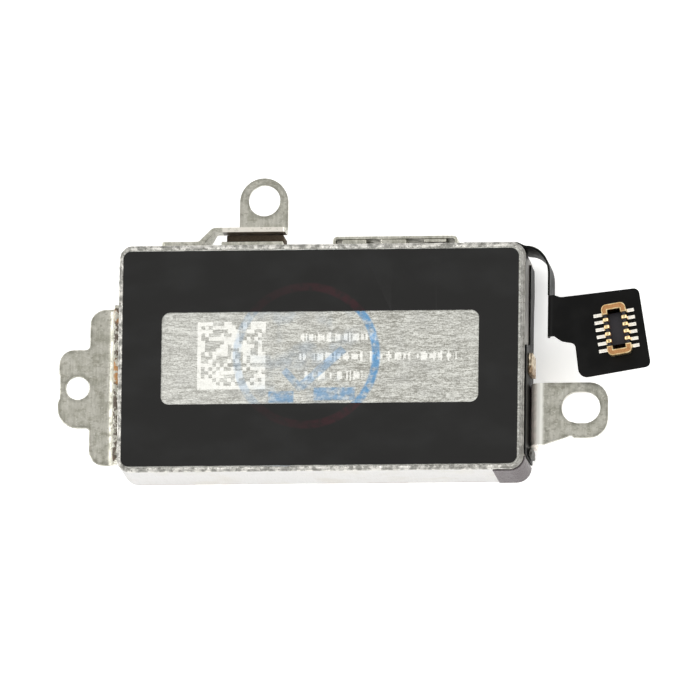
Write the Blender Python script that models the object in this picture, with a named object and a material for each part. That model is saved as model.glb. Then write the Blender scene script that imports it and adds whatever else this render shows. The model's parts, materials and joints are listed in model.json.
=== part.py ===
"""Rectangular linear haptic actuator of a handset, with three screw ears and a flex tail.

A drawn steel can holds a sprung tungsten mass that slides along X. Three magnets in the mass
face two flat coils on the floor of the can. The coils reach the outside through a flexible
printed circuit, which ends in a small board-to-board plug.

Frame: the origin is the centre of the underside of the can, X runs along the can, +Z is up.
Sizes below are millimetres. The meshes are scaled to metres when they are finished.
"""
import math

import bmesh
import bpy
from mathutils import Matrix, Vector

MM = 0.001
GAP = 0.015                     # clearance left between two pieces that touch
ARC_STEPS = 6                   # facets in a quarter turn

# Can and cover
CAN_LENGTH = 22.5
CAN_WIDTH = 12.7
CAN_HEIGHT = 4.1
CAN_WALL = 0.18
CAN_FLOOR = 0.2
CAN_CORNER = 0.75
BASE_EDGE = 0.3
COVER_THICKNESS = 0.2
COVER_SET_IN = 0.04
FILM_LENGTH = 21.94
FILM_WIDTH = 12.08
FILM_THICKNESS = 0.05
FILM_SHIFT = -0.07
FILM_CORNER = 0.45
WINDOW_LENGTH = 17.57
WINDOW_WIDTH = 5.16

# Sheet brackets
SHEET = 0.25
EAR_TOP = 2.5
LEG_TOP = 3.9
EAR_BEND = 0.5
LEFT_HOLE = (-13.68, -1.29)
LEFT_HOLE_RADIUS = 0.65
SLOT_CENTRE = (14.23, -2.64)
SLOT_RADIUS = 0.885
SLOT_STRAIGHT = 0.38
REAR_ARM_FACE = 7.14
REAR_TOP = 3.8
REAR_BOTTOM = 1.0
RING_CENTRE = (-3.465, 9.075)
RING_RADIUS = 1.335
RING_HOLE = (-3.44, 9.15)
RING_HOLE_RADIUS = 0.875
RING_BEND = 0.3
JOGGLE_BEND = 0.2
JOGGLE_ANGLE = 45
BACKING_LEFT = -5.65
BACKING_RIGHT = -2.25

# Flexible circuit and its plug
FLEX = 0.12
WALL_FLEX = 0.08                # the strip on the right wall, without the tail's cover layers
TAIL_TOP = 3.5
TAIL_BOTTOM = 0.75
TAIL_X = 12.49                  # where the tail runs beside the can
FOLD_RADIUS = 0.31              # middle of the flex at the fold
BOARD_MIDDLE = 3.55             # height of the middle of the flex under the plug
FOLD_FRONT = 1.15
FOLD_REAR = 3.45
PLUG_CENTRE = (16.32, 1.42)
PLUG_TURN = math.radians(9.5)
PLUG_PITCH = 0.4
PLUG_HEIGHT = 0.56
HOUSING_HALF_WIDTH = 0.585
HOUSING_HALF_LENGTH = 1.35
HOUSING_WALL = 0.14
CONTACT_SHEET = 0.07
CONTACT_WIDTH = 0.2
TAIL_TIPS = {"left": 1.17, "right": 1.08}

# Sprung mass and the drive
MASS_LENGTH = 17.4
MASS_WIDTH = 11.1
MASS_BOTTOM = 0.8
MASS_TOP = 3.1
MAGNET_WIDTH = 8.4
MAGNETS = {"magnet_left": (-5.4, 3.4), "magnet_centre": (0.0, 5.0), "magnet_right": (5.4, 3.4)}
YOKE_THICKNESS = 0.25
COIL_CENTRE = 3.7
COIL_HALF_LENGTH = 3.1
COIL_HALF_WIDTH = 4.7
COIL_LEG = 1.7
COIL_BOTTOM = 0.32
COIL_TOP = 0.70
SPRING_SHEET = 0.12
SPRING_BOTTOM = 0.95
SPRING_TOP = 2.95
SPRING_REACH = 5.2
SPRING_PAD = 1.3
CLAMP = 0.2


# ---------------------------------------------------------------- outlines

def arc(centre, radius, start, end, steps=None):
    """Points on an arc, angles in degrees."""
    if steps is None:
        steps = max(1, round(abs(end - start) / 90 * ARC_STEPS))
    turn = [math.radians(start + (end - start) * i / steps) for i in range(steps + 1)]
    return [(centre[0] + radius * math.cos(a), centre[1] + radius * math.sin(a)) for a in turn]


def rounded(corners):
    """Closed outline through (x, y, radius) corners, each corner an arc tangent to its sides."""
    points = []
    for i, (x, y, radius) in enumerate(corners):
        here = Vector((x, y))
        before = Vector(corners[i - 1][:2]) - here
        after = Vector(corners[(i + 1) % len(corners)][:2]) - here
        if radius == 0:
            points.append((x, y))
            continue
        half = before.angle(after) / 2
        reach = radius / math.tan(half)
        middle = (before.normalized() + after.normalized()).normalized()
        centre = here + middle * (radius / math.sin(half))
        first = here + before.normalized() * reach - centre
        sweep = math.pi - 2 * half
        side = 1 if before.cross(after) < 0 else -1
        steps = max(1, round(sweep / (math.pi / 2) * ARC_STEPS))
        for k in range(steps + 1):
            spoke = first.copy()
            spoke.rotate(Matrix.Rotation(side * sweep * k / steps, 2))
            points.append(tuple(centre + spoke))
    return points


def rectangle(length, width, radius, centre=(0.0, 0.0)):
    """Rounded rectangle about a centre."""
    x, y = length / 2, width / 2
    corners = [(-x, -y), (x, -y), (x, y), (-x, y)]
    return rounded([(centre[0] + px, centre[1] + py, radius) for px, py in corners])


def circle(centre, radius, steps=24):
    """Closed circle."""
    return arc(centre, radius, 0, 360 - 360 / steps, steps - 1)


def ribbon(path, thickness):
    """Closed outline of a strip of even thickness whose middle follows an open path."""
    left = []
    right = []
    for i, point in enumerate(path):
        back = Vector(point) - Vector(path[max(i - 1, 0)])
        ahead = Vector(path[min(i + 1, len(path) - 1)]) - Vector(point)
        along = (back.normalized() + ahead.normalized()).normalized()
        across = Vector((-along.y, along.x))
        leading = ahead if ahead.length > 0 else back
        stretch = 1 / max(0.5, along.dot(leading.normalized()))
        shift = across * (thickness / 2 * stretch)
        left.append(tuple(Vector(point) + shift))
        right.append(tuple(Vector(point) - shift))
    return left + right[::-1]


# ---------------------------------------------------------------- solids

def prism(outline, low, high, holes=()):
    """Straight solid between two heights, with any through holes."""
    bm = bmesh.new()
    edges = []
    for loop in (outline, *holes):
        verts = [bm.verts.new((x, y, low)) for x, y in loop]
        edges += [bm.edges.new(pair) for pair in zip(verts, verts[1:] + verts[:1])]
    bmesh.ops.triangle_fill(bm, use_beauty=True, edges=edges)
    grown = bmesh.ops.extrude_face_region(bm, geom=bm.faces[:])
    top = [item for item in grown["geom"] if isinstance(item, bmesh.types.BMVert)]
    bmesh.ops.translate(bm, verts=top, vec=(0, 0, high - low))
    return bm


def loft(loops):
    """Solid through closed loops of equal length, capped at the first and the last."""
    bm = bmesh.new()
    rings = [[bm.verts.new(point) for point in loop] for loop in loops]
    for lower, upper in zip(rings, rings[1:]):
        count = len(lower)
        for i in range(count):
            j = (i + 1) % count
            bm.faces.new((lower[i], lower[j], upper[j], upper[i]))
    bm.faces.new(rings[0])
    bm.faces.new(rings[-1])
    return bm


def sweep(section, path):
    """Solid whose closed (across, height) section follows an open plan path."""
    loops = []
    for i, point in enumerate(path):
        back = Vector(point) - Vector(path[max(i - 1, 0)])
        ahead = Vector(path[min(i + 1, len(path) - 1)]) - Vector(point)
        along = (back.normalized() + ahead.normalized()).normalized()
        across = Vector((-along.y, along.x))
        loops.append([(*(Vector(point) + across * offset), height) for offset, height in section])
    return loft(loops)


def bend(bm, start, side, inside, toward, radius, thickness, angle=90, front=None):
    """Bend a flat sheet in X and Z about a line along Y.

    Points beyond start, on the side given by side (+1 or -1), roll about an axis that stands
    radius off the face at height inside, on the side given by toward (+1 up, -1 down). Where
    front is given, only the part of the sheet with Y above it is bent.
    """
    turn = math.radians(angle)
    middle = radius + thickness / 2
    length = middle * turn
    steps = max(2, round(angle / 90 * ARC_STEPS))
    for k in range(steps + 1):
        cut = (start + side * length * k / steps, 0, 0)
        geometry = bm.verts[:] + bm.edges[:] + bm.faces[:]
        bmesh.ops.bisect_plane(bm, geom=geometry, dist=1e-5, plane_co=cut, plane_no=(1, 0, 0))
    for vert in bm.verts:
        run = (vert.co.x - start) * side
        if run <= 0 or (front is not None and vert.co.y < front):
            continue
        depth = radius + (inside - vert.co.z) * toward
        angle_here = min(run / middle, turn)
        beyond = max(0.0, run - length)
        out = depth * math.sin(angle_here) + beyond * math.cos(angle_here)
        rise = radius - depth * math.cos(angle_here) + beyond * math.sin(angle_here)
        vert.co.x = start + side * out
        vert.co.z = inside + toward * rise


def swap_axes(bm, order):
    """Turn a solid so that its x, y and z become the axes named in order."""
    places = ["xyz".index(letter) for letter in order]
    for vert in bm.verts:
        old = vert.co.copy()
        for target, value in zip(places, old):
            vert.co[target] = value
    return bm


def box(low, high, edge=0.0):
    """Block between two corners, with chamfered edges."""
    bm = bmesh.new()
    bmesh.ops.create_cube(bm, size=1)
    low = Vector(low)
    high = Vector(high)
    for vert in bm.verts:
        vert.co = (low + high) / 2 + vert.co * (high - low)
    if edge > 0:
        bmesh.ops.bevel(bm, geom=bm.edges[:], offset=edge, segments=2, profile=0.5, affect="EDGES")
    return bm


# ---------------------------------------------------------------- objects

def make_material(name, color, roughness, metallic):
    """Principled material."""
    material = bpy.data.materials.new(name)
    material.use_nodes = True
    shader = material.node_tree.nodes["Principled BSDF"]
    shader.inputs["Base Color"].default_value = (*color, 1)
    shader.inputs["Roughness"].default_value = roughness
    shader.inputs["Metallic"].default_value = metallic
    material.diffuse_color = (*color, 1)
    return material


def make_body(name, place):
    """Empty that carries the pieces of one moving body, standing on its joint."""
    empty = bpy.data.objects.new(name, None)
    empty.location = Vector(place) * MM
    empty.empty_display_size = 2 * MM
    bpy.context.collection.objects.link(empty)
    return empty


def finish(name, bm, material, body):
    """Turn a solid into a named object of one body, in metres, faces out, shaded smooth."""
    here = body.location
    bmesh.ops.recalc_face_normals(bm, faces=bm.faces)
    if bm.calc_volume(signed=True) < 0:
        bmesh.ops.reverse_faces(bm, faces=bm.faces)
    bmesh.ops.transform(bm, matrix=Matrix.Translation(-here) @ Matrix.Scale(MM, 4), verts=bm.verts)
    mesh = bpy.data.meshes.new(name)
    bm.to_mesh(mesh)
    bm.free()
    mesh.materials.append(material)
    mesh.shade_smooth()
    mesh.set_sharp_from_angle(angle=math.radians(30))
    piece = bpy.data.objects.new(name, mesh)
    bpy.context.collection.objects.link(piece)
    piece.parent = body
    return piece


# ---------------------------------------------------------------- can

def build_can(body, steel, cover_steel, film_black):
    """Drawn can, the cover set into it and the printed film on the cover."""
    def ring(inset, height):
        radius = max(CAN_CORNER - inset, 0.1)
        outline = rectangle(CAN_LENGTH - 2 * inset, CAN_WIDTH - 2 * inset, radius)
        return [(x, y, height) for x, y in outline]

    steps = 4
    inner_edge = 0.2
    outer = []
    for k in range(steps + 1):
        angle = math.pi / 2 * k / steps
        outer.append(ring(BASE_EDGE * (1 - math.sin(angle)), BASE_EDGE * (1 - math.cos(angle))))
    inner = []
    for k in range(steps + 1):
        angle = math.pi / 2 * k / steps
        inset = CAN_WALL + inner_edge * (1 - math.cos(angle))
        inner.append(ring(inset, CAN_FLOOR + inner_edge * (1 - math.sin(angle))))
    rim = [ring(0, CAN_HEIGHT - 0.03), ring(0.03, CAN_HEIGHT), ring(CAN_WALL, CAN_HEIGHT)]
    finish("can_shell", loft(outer + rim + inner), steel, body)

    side_gap = 2 * (CAN_WALL + GAP)
    top = CAN_HEIGHT - COVER_SET_IN
    plate = rectangle(CAN_LENGTH - side_gap, CAN_WIDTH - side_gap, CAN_CORNER - CAN_WALL - GAP)
    finish("cover_plate", prism(plate, top - COVER_THICKNESS, top), cover_steel, body)

    middle = (FILM_SHIFT, 0.0)
    film = rectangle(FILM_LENGTH, FILM_WIDTH, FILM_CORNER, middle)
    window = rectangle(WINDOW_LENGTH, WINDOW_WIDTH, FILM_CORNER, middle)
    low = top + GAP
    finish("insulating_film", prism(film, low, low + FILM_THICKNESS, [window]), film_black, body)


# ---------------------------------------------------------------- brackets

def build_left_bracket(body, nickel):
    """Angle with a long leg on the left end wall and an ear bent outwards."""
    wall = -CAN_LENGTH / 2 - GAP
    start = wall - SHEET - EAR_BEND
    leg = (EAR_BEND + SHEET / 2) * math.pi / 2 + LEG_TOP - EAR_TOP - EAR_BEND
    outline = rounded([
        (start + leg, 3.1, 0.2), (-13.02, 3.1, 0.85), (-13.02, 0.85, 0.25), (-14.72, 0.85, 0.8),
        (-14.72, -0.48, 0.05), (-14.66, -0.6, 0.05), (-14.66, -1.85, 0.1), (-14.78, -2.1, 0.15),
        (-14.78, -3.53, 1.1), (-13.02, -3.53, 0.2), (-13.02, -5.65, 0.85), (start + leg, -5.65, 0.2)])
    hole = circle(LEFT_HOLE, LEFT_HOLE_RADIUS)
    bm = prism(outline, EAR_TOP - SHEET, EAR_TOP, [hole])
    bend(bm, start, 1, EAR_TOP, 1, EAR_BEND, SHEET)
    finish("left_bracket", bm, nickel, body)


def build_right_bracket(body, nickel):
    """Angle whose leg hangs down the right end wall, over the flex strip, with a slotted ear."""
    glue = 0.06
    face = CAN_LENGTH / 2 + GAP + WALL_FLEX + glue
    start = face + SHEET + EAR_BEND
    foot = 0.45
    leg = (EAR_BEND + SHEET / 2) * math.pi / 2 + EAR_TOP - SHEET - EAR_BEND - foot
    outline = rounded([
        (start - leg, -1.23, 0.2), (15.72, -1.25, 1.0), (15.72, -4.32, 1.05), (13.85, -4.32, 0.1),
        (13.7, -4.17, 0.1), (12.9, -4.45, 0.4), (start, -4.68, 0.1), (start - leg, -4.68, 0.2)])
    x, y = SLOT_CENTRE
    half = SLOT_STRAIGHT / 2
    slot = arc((x + half, y), SLOT_RADIUS, -90, 90) + arc((x - half, y), SLOT_RADIUS, 90, 270)
    bm = prism(outline, EAR_TOP - SHEET, EAR_TOP, [slot])
    bend(bm, start, -1, EAR_TOP - SHEET, -1, EAR_BEND, SHEET)
    finish("right_bracket", bm, nickel, body)


def build_rear_bracket(body, nickel):
    """Foot on the rear wall, an arm that a joggle holds off it, and a ring bent outwards."""
    wall = CAN_WIDTH / 2 + GAP
    foot_left = -8.95
    arm_left = -5.95
    # Lengths of the flat blank, from the arm to the foot
    turn = math.radians(JOGGLE_ANGLE)
    middle = JOGGLE_BEND + SHEET / 2
    roll = middle * turn
    slope = (REAR_ARM_FACE - wall - 2 * middle * (1 - math.cos(turn))) / math.sin(turn)
    run = 2 * middle * math.sin(turn) + slope * math.cos(turn)
    foot_start = arm_left - 2 * roll - slope
    blank_left = foot_start - (arm_left - run - foot_left)
    # The ring hangs below the arm in the blank, and is bent out and level
    root = EAR_TOP + RING_BEND
    hang = (RING_BEND + SHEET / 2) * math.pi / 2 - (REAR_ARM_FACE + SHEET + RING_BEND)
    x, y = RING_CENTRE
    left, right = x - RING_RADIUS, x + RING_RADIUS
    tip = root - hang - y - RING_RADIUS
    outline = rounded([
        (blank_left, REAR_TOP, 0.2), (blank_left, REAR_BOTTOM, 0.2), (foot_start, REAR_BOTTOM, 0.2),
        (arm_left, root, 0.2), (left, root, 0.05), (left, tip, RING_RADIUS),
        (right, tip, RING_RADIUS), (right, REAR_TOP, 0.15)])
    hole = circle((RING_HOLE[0], root - hang - RING_HOLE[1]), RING_HOLE_RADIUS)
    bm = prism(outline, 0, SHEET, [hole])
    swap_axes(bm, "yxz")
    bend(bm, root, -1, SHEET, 1, RING_BEND, SHEET, front=left - 0.01)
    swap_axes(bm, "yxz")
    bend(bm, foot_start + roll, -1, SHEET, 1, JOGGLE_BEND, SHEET, JOGGLE_ANGLE)
    bend(bm, arm_left, -1, 0, -1, JOGGLE_BEND, SHEET, JOGGLE_ANGLE)
    swap_axes(bm, "xzy")
    bmesh.ops.translate(bm, verts=bm.verts, vec=(0, REAR_ARM_FACE, 0))
    finish("rear_bracket", bm, nickel, body)

    low = (BACKING_LEFT, wall, 1.2)
    high = (BACKING_RIGHT, wall + SHEET, 3.7)
    finish("rear_backing_plate", box(low, high, 0.03), nickel, body)


def build_rear_guard(body, nickel):
    """Shallow channel on edge beside the rear wall, held off it by three lugs."""
    wall = CAN_WIDTH / 2 + GAP
    left, right = 0.62, 7.38
    depth = 0.37
    sheet = 0.15
    corner = 0.18
    path = [(left, wall)] + arc((left + corner, wall + depth - corner), corner, 180, 90)
    path += arc((right - corner, wall + depth - corner), corner, 90, 0) + [(right, wall)]
    finish("rear_guard_channel", prism(ribbon(path, sheet), 1.2, 3.85), nickel, body)
    inner = wall + depth - sheet / 2 - GAP
    lugs = [(1.06, 2.39, wall), (3.17, 4.61, wall), (5.6, 6.82, wall + 0.1)]
    for number, (low, high, back) in enumerate(lugs, 1):
        block = box((low, back, 1.3), (high, inner, 3.8), 0.03)
        finish(f"rear_lug_{number}", block, nickel, body)


def build_corner_patch(body, foil):
    """Thin foil patch on the front wall, wrapped round the right corner."""
    sheet = 0.06
    off = GAP + sheet / 2
    centre = (CAN_LENGTH / 2 - CAN_CORNER, -CAN_WIDTH / 2 + CAN_CORNER)
    path = [(9.55, -CAN_WIDTH / 2 - off)] + arc(centre, CAN_CORNER + off, -90, 0)
    finish("corner_patch", prism(ribbon(path, sheet), 0.35, 3.98), foil, body)


# ---------------------------------------------------------------- outside wiring

def build_wall_flex(body, flex_black, gold, glue_black):
    """Flex strip on the right end wall, its two solder pads and a bead of glue."""
    wall = CAN_LENGTH / 2 + GAP
    outline = rounded([
        (5.2, 0.15, 0.1), (5.2, 1.95, 0.1), (0.95, 1.95, 0.3), (0.65, 3.9, 0.2),
        (-5.45, 3.9, 0.2), (-5.45, 0.15, 0.1)])
    strip = swap_axes(prism(outline, wall, wall + WALL_FLEX), "yzx")
    finish("wall_flex_strip", strip, flex_black, body)
    face = wall + WALL_FLEX + GAP
    for number, front in enumerate((-0.78, -0.24), 1):
        pad = box((face, front, 1.5), (face + 0.2, front + 0.46, 2.45), 0.06)
        finish(f"solder_pad_{number}", pad, gold, body)
    bead = box((face, -5.45, 0.7), (face + 0.27, -4.78, 3.1), 0.11)
    finish("glue_bead", bead, glue_black, body)


def build_tail(body, flex_black):
    """Flex tail on edge: along the rear wall, round the corner, beside the right wall."""
    rear = CAN_WIDTH / 2 + GAP + FLEX / 2
    leave, corner = 10.6, 11.25
    dip = 0.22
    turn = 4.7
    path = [(7.75, rear), (9.2, rear)]
    for k in range(ARC_STEPS):
        share = k / ARC_STEPS
        path.append((leave + (corner - leave) * share, rear - dip * share * share * (3 - 2 * share)))
    steps = 2 * ARC_STEPS
    for k in range(steps + 1):
        angle = math.pi / 2 * (1 - k / steps)
        across = corner + (TAIL_X - corner) * math.cos(angle)
        path.append((across, turn + (rear - dip - turn) * math.sin(angle)))
    path.append((TAIL_X, FOLD_REAR + GAP))
    finish("flex_tail", prism(ribbon(path, FLEX), TAIL_BOTTOM, TAIL_TOP), flex_black, body)


def build_fold(body, flex_black):
    """The part of the tail that folds over outwards into the plug's board."""
    centre = (TAIL_X + FOLD_RADIUS, BOARD_MIDDLE - FOLD_RADIUS)
    path = [(TAIL_X, TAIL_BOTTOM)] + arc(centre, FOLD_RADIUS, 180, 90)
    side = prism(ribbon(path, FLEX), FOLD_FRONT, FOLD_REAR)
    finish("flex_fold", swap_axes(side, "xzy"), flex_black, body)


# ---------------------------------------------------------------- plug

def turned(points):
    """Points given along and across the plug, moved to their place on the tail."""
    cos, sin = math.cos(PLUG_TURN), math.sin(PLUG_TURN)
    x0, y0 = PLUG_CENTRE
    return [(x0 + x * cos - y * sin, y0 + x * sin + y * cos) for x, y in points]


def place_plug_piece(bm, height):
    """Turn a solid made about the plug's own centre and set it on the board."""
    x0, y0 = PLUG_CENTRE
    move = Matrix.Translation((x0, y0, height)) @ Matrix.Rotation(PLUG_TURN, 4, "Z")
    bmesh.ops.transform(bm, matrix=move, verts=bm.verts)
    return bm


def build_board(body, flex_black, stiffener_steel):
    """Board end of the flex with its stiffener. Returns the height of the board's face."""
    top = BOARD_MIDDLE + FLEX / 2
    fold_end = TAIL_X + FOLD_RADIUS + GAP
    corners = turned([(1.52, 2.18), (1.52, -2.28), (-2.5, -2.28), (-2.42, -0.3)])
    rear_right, front_right, front_left, notch = corners
    outline = rounded([
        (fold_end, FOLD_REAR, 0), (fold_end + 0.35, FOLD_REAR - 0.12, 0.3), (*rear_right, 0.32),
        (*front_right, 0.32), (*front_left, 0.5), (*notch, 0.3), (13.25, 0.85, 0.5),
        (fold_end, FOLD_FRONT, 0)])
    finish("plug_board", prism(outline, top - FLEX, top), flex_black, body)
    shape = rectangle(3.4, 4.1, 0.3, (-0.3, -0.05))
    plate = place_plug_piece(prism(shape, -0.15, 0), top - FLEX - GAP)
    finish("plug_stiffener", plate, stiffener_steel, body)
    return top + GAP


def build_housing(body, seat, plastic):
    """Moulded plug housing: a low tray with a thin wall all round."""
    floor = 0.16
    top = PLUG_HEIGHT - CONTACT_SHEET - GAP
    length, width = 2 * HOUSING_HALF_LENGTH, 2 * HOUSING_HALF_WIDTH
    outer = rectangle(width, length, 0.12)
    inner = rectangle(width - 2 * HOUSING_WALL, length - 2 * HOUSING_WALL, 0.06)
    loops = [(outer, 0.0), (outer, top), (inner, top), (inner, floor)]
    tray = loft([[(x, y, height) for x, y in outline] for outline, height in loops])
    finish("plug_housing", place_plug_piece(tray, seat), plastic, body)


def build_contacts(body, seat, gold):
    """Eight contacts hooked over the housing's long walls, each with its solder tail."""
    sheet = CONTACT_SHEET
    middle = sheet / 2
    out = HOUSING_HALF_WIDTH + GAP + middle
    back = HOUSING_HALF_WIDTH - HOUSING_WALL - GAP - middle
    crown = PLUG_HEIGHT - middle
    for side_name, side in (("left", -1), ("right", 1)):
        tip = TAIL_TIPS[side_name]
        path = [(tip, middle), (out, middle), (out, crown), (back, crown), (back, 0.2)]
        outline = [(side * x, z) for x, z in ribbon(path, sheet)]
        for number in range(4):
            y = PLUG_PITCH * (1.5 - number)
            bm = swap_axes(prism(outline, y - CONTACT_WIDTH / 2, y + CONTACT_WIDTH / 2), "xzy")
            finish(f"contact_{side_name}_{number + 1}", place_plug_piece(bm, seat), gold, body)


def build_end_terminals(body, seat, gold):
    """Two power terminals, each hooked over one end of the housing, with two solder tails."""
    sheet = CONTACT_SHEET
    top = PLUG_HEIGHT
    inner = HOUSING_WALL / 2 + GAP
    outer = inner + sheet
    section = [(-outer, sheet), (-outer, top), (outer, top), (outer, 0.2), (inner, 0.2),
               (inner, top - sheet), (-inner, top - sheet), (-inner, sheet)]
    corner = 0.13
    arm_end = 0.9
    x, y = HOUSING_HALF_WIDTH - HOUSING_WALL / 2, HOUSING_HALF_LENGTH - HOUSING_WALL / 2
    for name, turn in (("rear", 0), ("front", math.pi)):
        path = [(x, arm_end)] + arc((x - corner, y - corner), corner, 0, 90, 3)
        path += arc((corner - x, y - corner), corner, 90, 180, 3) + [(-x, arm_end)]
        bm = sweep(section, path)
        bmesh.ops.transform(bm, matrix=Matrix.Rotation(turn, 4, "Z"), verts=bm.verts)
        finish(f"power_terminal_{name}", place_plug_piece(bm, seat), gold, body)
    number = 0
    for end in (1, -1):
        for side_name, side in (("left", -1), ("right", 1)):
            number += 1
            xs = sorted((side * (x + outer + GAP), side * TAIL_TIPS[side_name]))
            middle = end * PLUG_PITCH * 2.5
            low = (xs[0], middle - CONTACT_WIDTH / 2, 0.0)
            high = (xs[1], middle + CONTACT_WIDTH / 2, sheet)
            finish(f"power_tail_{number}", place_plug_piece(box(low, high), seat), gold, body)


# ---------------------------------------------------------------- inside

def build_drive(body, copper, flex_amber, chip_black, rubber):
    """Coils on their flex, the position sensor and the end stops, all fixed in the can."""
    sheet = rectangle(14.6, 10.4, 0.4)
    finish("coil_flex", prism(sheet, CAN_FLOOR + GAP, COIL_BOTTOM - GAP), flex_amber, body)
    for name, side in (("coil_left", -1), ("coil_right", 1)):
        centre = (side * COIL_CENTRE, 0)
        outer = rectangle(2 * COIL_HALF_LENGTH, 2 * COIL_HALF_WIDTH, 1.9, centre)
        hole = rectangle(2 * (COIL_HALF_LENGTH - COIL_LEG), 2 * (COIL_HALF_WIDTH - COIL_LEG), 0.5, centre)
        finish(name, prism(outer, COIL_BOTTOM, COIL_TOP, [hole]), copper, body)
    chip = box((-0.45, -5.05, COIL_BOTTOM), (0.45, -4.35, COIL_TOP - 0.05), 0.03)
    finish("position_sensor", chip, chip_black, body)
    wall = CAN_LENGTH / 2 - CAN_WALL - GAP
    for name, side in (("left_stop", -1), ("right_stop", 1)):
        xs = sorted((side * wall, side * (wall - 1.28)))
        ys = sorted((-side * 4.15, -side * 5.35))
        finish(name, box((xs[0], ys[0], 1.0), (xs[1], ys[1], 2.9), 0.15), rubber, body)


def build_mass(body, tungsten, magnet_nickel, yoke_steel):
    """Pocketed mass, three magnets in it and the yoke plate over them."""
    frame = rectangle(MASS_LENGTH, MASS_WIDTH, 0.5)
    pockets = []
    for name, (x, length) in MAGNETS.items():
        pockets.append(rectangle(length, MAGNET_WIDTH, 0.15, (x, 0)))
        shape = rectangle(length - 2 * GAP, MAGNET_WIDTH - 2 * GAP, 0.15, (x, 0))
        finish(name, prism(shape, MASS_BOTTOM + 0.02, MASS_TOP), magnet_nickel, body)
    finish("mass_frame", prism(frame, MASS_BOTTOM, MASS_TOP, pockets), tungsten, body)
    yoke = rectangle(15.4, 9.6, 0.4)
    low = MASS_TOP + GAP
    finish("yoke_plate", prism(yoke, low, low + YOKE_THICKNESS), yoke_steel, body)


def spring_path(side):
    """Middle of one leaf: flat on the end wall, across, and flat on the end of the mass."""
    wall = CAN_LENGTH / 2 - CAN_WALL - GAP - SPRING_SHEET / 2
    mass = MASS_LENGTH / 2 + GAP + SPRING_SHEET / 2
    pad = SPRING_REACH - SPRING_PAD
    path = [(wall, SPRING_REACH)]
    steps = 3 * ARC_STEPS
    for k in range(steps + 1):
        share = k / steps
        ease = share * share * (3 - 2 * share)
        path.append((wall + (mass - wall) * ease, pad - 2 * pad * share))
    path.append((mass, -SPRING_REACH))
    return [(side * x, side * y) for x, y in path]


def build_springs(can, mass, spring_steel):
    """Two leaf springs and the four plates that clamp their ends."""
    inner_wall = CAN_LENGTH / 2 - CAN_WALL - GAP - SPRING_SHEET - GAP
    mass_face = MASS_LENGTH / 2 + GAP + SPRING_SHEET + GAP
    near, far = SPRING_REACH - SPRING_PAD + 0.1, SPRING_REACH - 0.05
    for name, side in (("right", 1), ("left", -1)):
        leaf = prism(ribbon(spring_path(side), SPRING_SHEET), SPRING_BOTTOM, SPRING_TOP)
        finish(f"{name}_leaf_spring", leaf, spring_steel, can)
        xs = sorted((side * inner_wall, side * (inner_wall - CLAMP)))
        ys = sorted((side * near, side * far))
        plate = box((xs[0], ys[0], 1.05), (xs[1], ys[1], 2.85), 0.03)
        finish(f"{name}_wall_clamp", plate, spring_steel, can)
        xs = sorted((side * mass_face, side * (mass_face + CLAMP)))
        ys = sorted((-side * near, -side * far))
        plate = box((xs[0], ys[0], 1.05), (xs[1], ys[1], 2.85), 0.03)
        finish(f"{name}_mass_clamp", plate, spring_steel, mass)


def main():
    for old in list(bpy.data.objects):
        bpy.data.objects.remove(old, do_unlink=True)
    steel = make_material("drawn_steel", (0.80, 0.79, 0.76), 0.28, 1.0)
    cover_steel = make_material("brushed_cover_steel", (0.62, 0.60, 0.57), 0.38, 1.0)
    film_black = make_material("black_film", (0.03, 0.03, 0.028), 0.45, 0.0)
    nickel = make_material("nickel_plate", (0.55, 0.54, 0.47), 0.35, 1.0)
    foil = make_material("grey_foil", (0.45, 0.42, 0.43), 0.2, 1.0)
    flex_black = make_material("flex_cover_black", (0.018, 0.018, 0.018), 0.5, 0.0)
    gold = make_material("gold_plate", (0.80, 0.55, 0.25), 0.25, 1.0)
    glue_black = make_material("glue_black", (0.03, 0.028, 0.02), 0.4, 0.0)
    stiffener = make_material("stiffener_steel", (0.6, 0.6, 0.58), 0.35, 1.0)
    plastic = make_material("housing_black", (0.02, 0.017, 0.016), 0.5, 0.0)
    copper = make_material("coil_copper", (0.70, 0.33, 0.16), 0.35, 1.0)
    amber = make_material("coil_flex_amber", (0.45, 0.22, 0.04), 0.4, 0.0)
    chip = make_material("chip_black", (0.03, 0.03, 0.035), 0.5, 0.0)
    rubber = make_material("stop_rubber", (0.04, 0.04, 0.04), 0.8, 0.0)
    tungsten = make_material("tungsten_grey", (0.32, 0.32, 0.33), 0.4, 1.0)
    magnet = make_material("magnet_nickel", (0.66, 0.66, 0.65), 0.25, 1.0)
    yoke = make_material("yoke_steel", (0.5, 0.5, 0.5), 0.35, 1.0)
    spring = make_material("spring_steel", (0.55, 0.55, 0.56), 0.25, 1.0)

    can = make_body("can", (0, 0, 0))
    carriage = make_body("carriage", (0, 0, (MASS_BOTTOM + MASS_TOP) / 2))
    hinge_height = BOARD_MIDDLE - FOLD_RADIUS
    plug = make_body("plug", (TAIL_X + FOLD_RADIUS, (FOLD_FRONT + FOLD_REAR) / 2, hinge_height))

    build_can(can, steel, cover_steel, film_black)
    build_left_bracket(can, nickel)
    build_right_bracket(can, nickel)
    build_rear_bracket(can, nickel)
    build_rear_guard(can, nickel)
    build_corner_patch(can, foil)
    build_wall_flex(can, flex_black, gold, glue_black)
    build_tail(can, flex_black)
    build_fold(can, flex_black)
    build_drive(can, copper, amber, chip, rubber)
    build_mass(carriage, tungsten, magnet, yoke)
    build_springs(can, carriage, spring)
    seat = build_board(plug, flex_black, stiffener)
    build_housing(plug, seat, plastic)
    build_contacts(plug, seat, gold)
    build_end_terminals(plug, seat, gold)


main()
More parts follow.
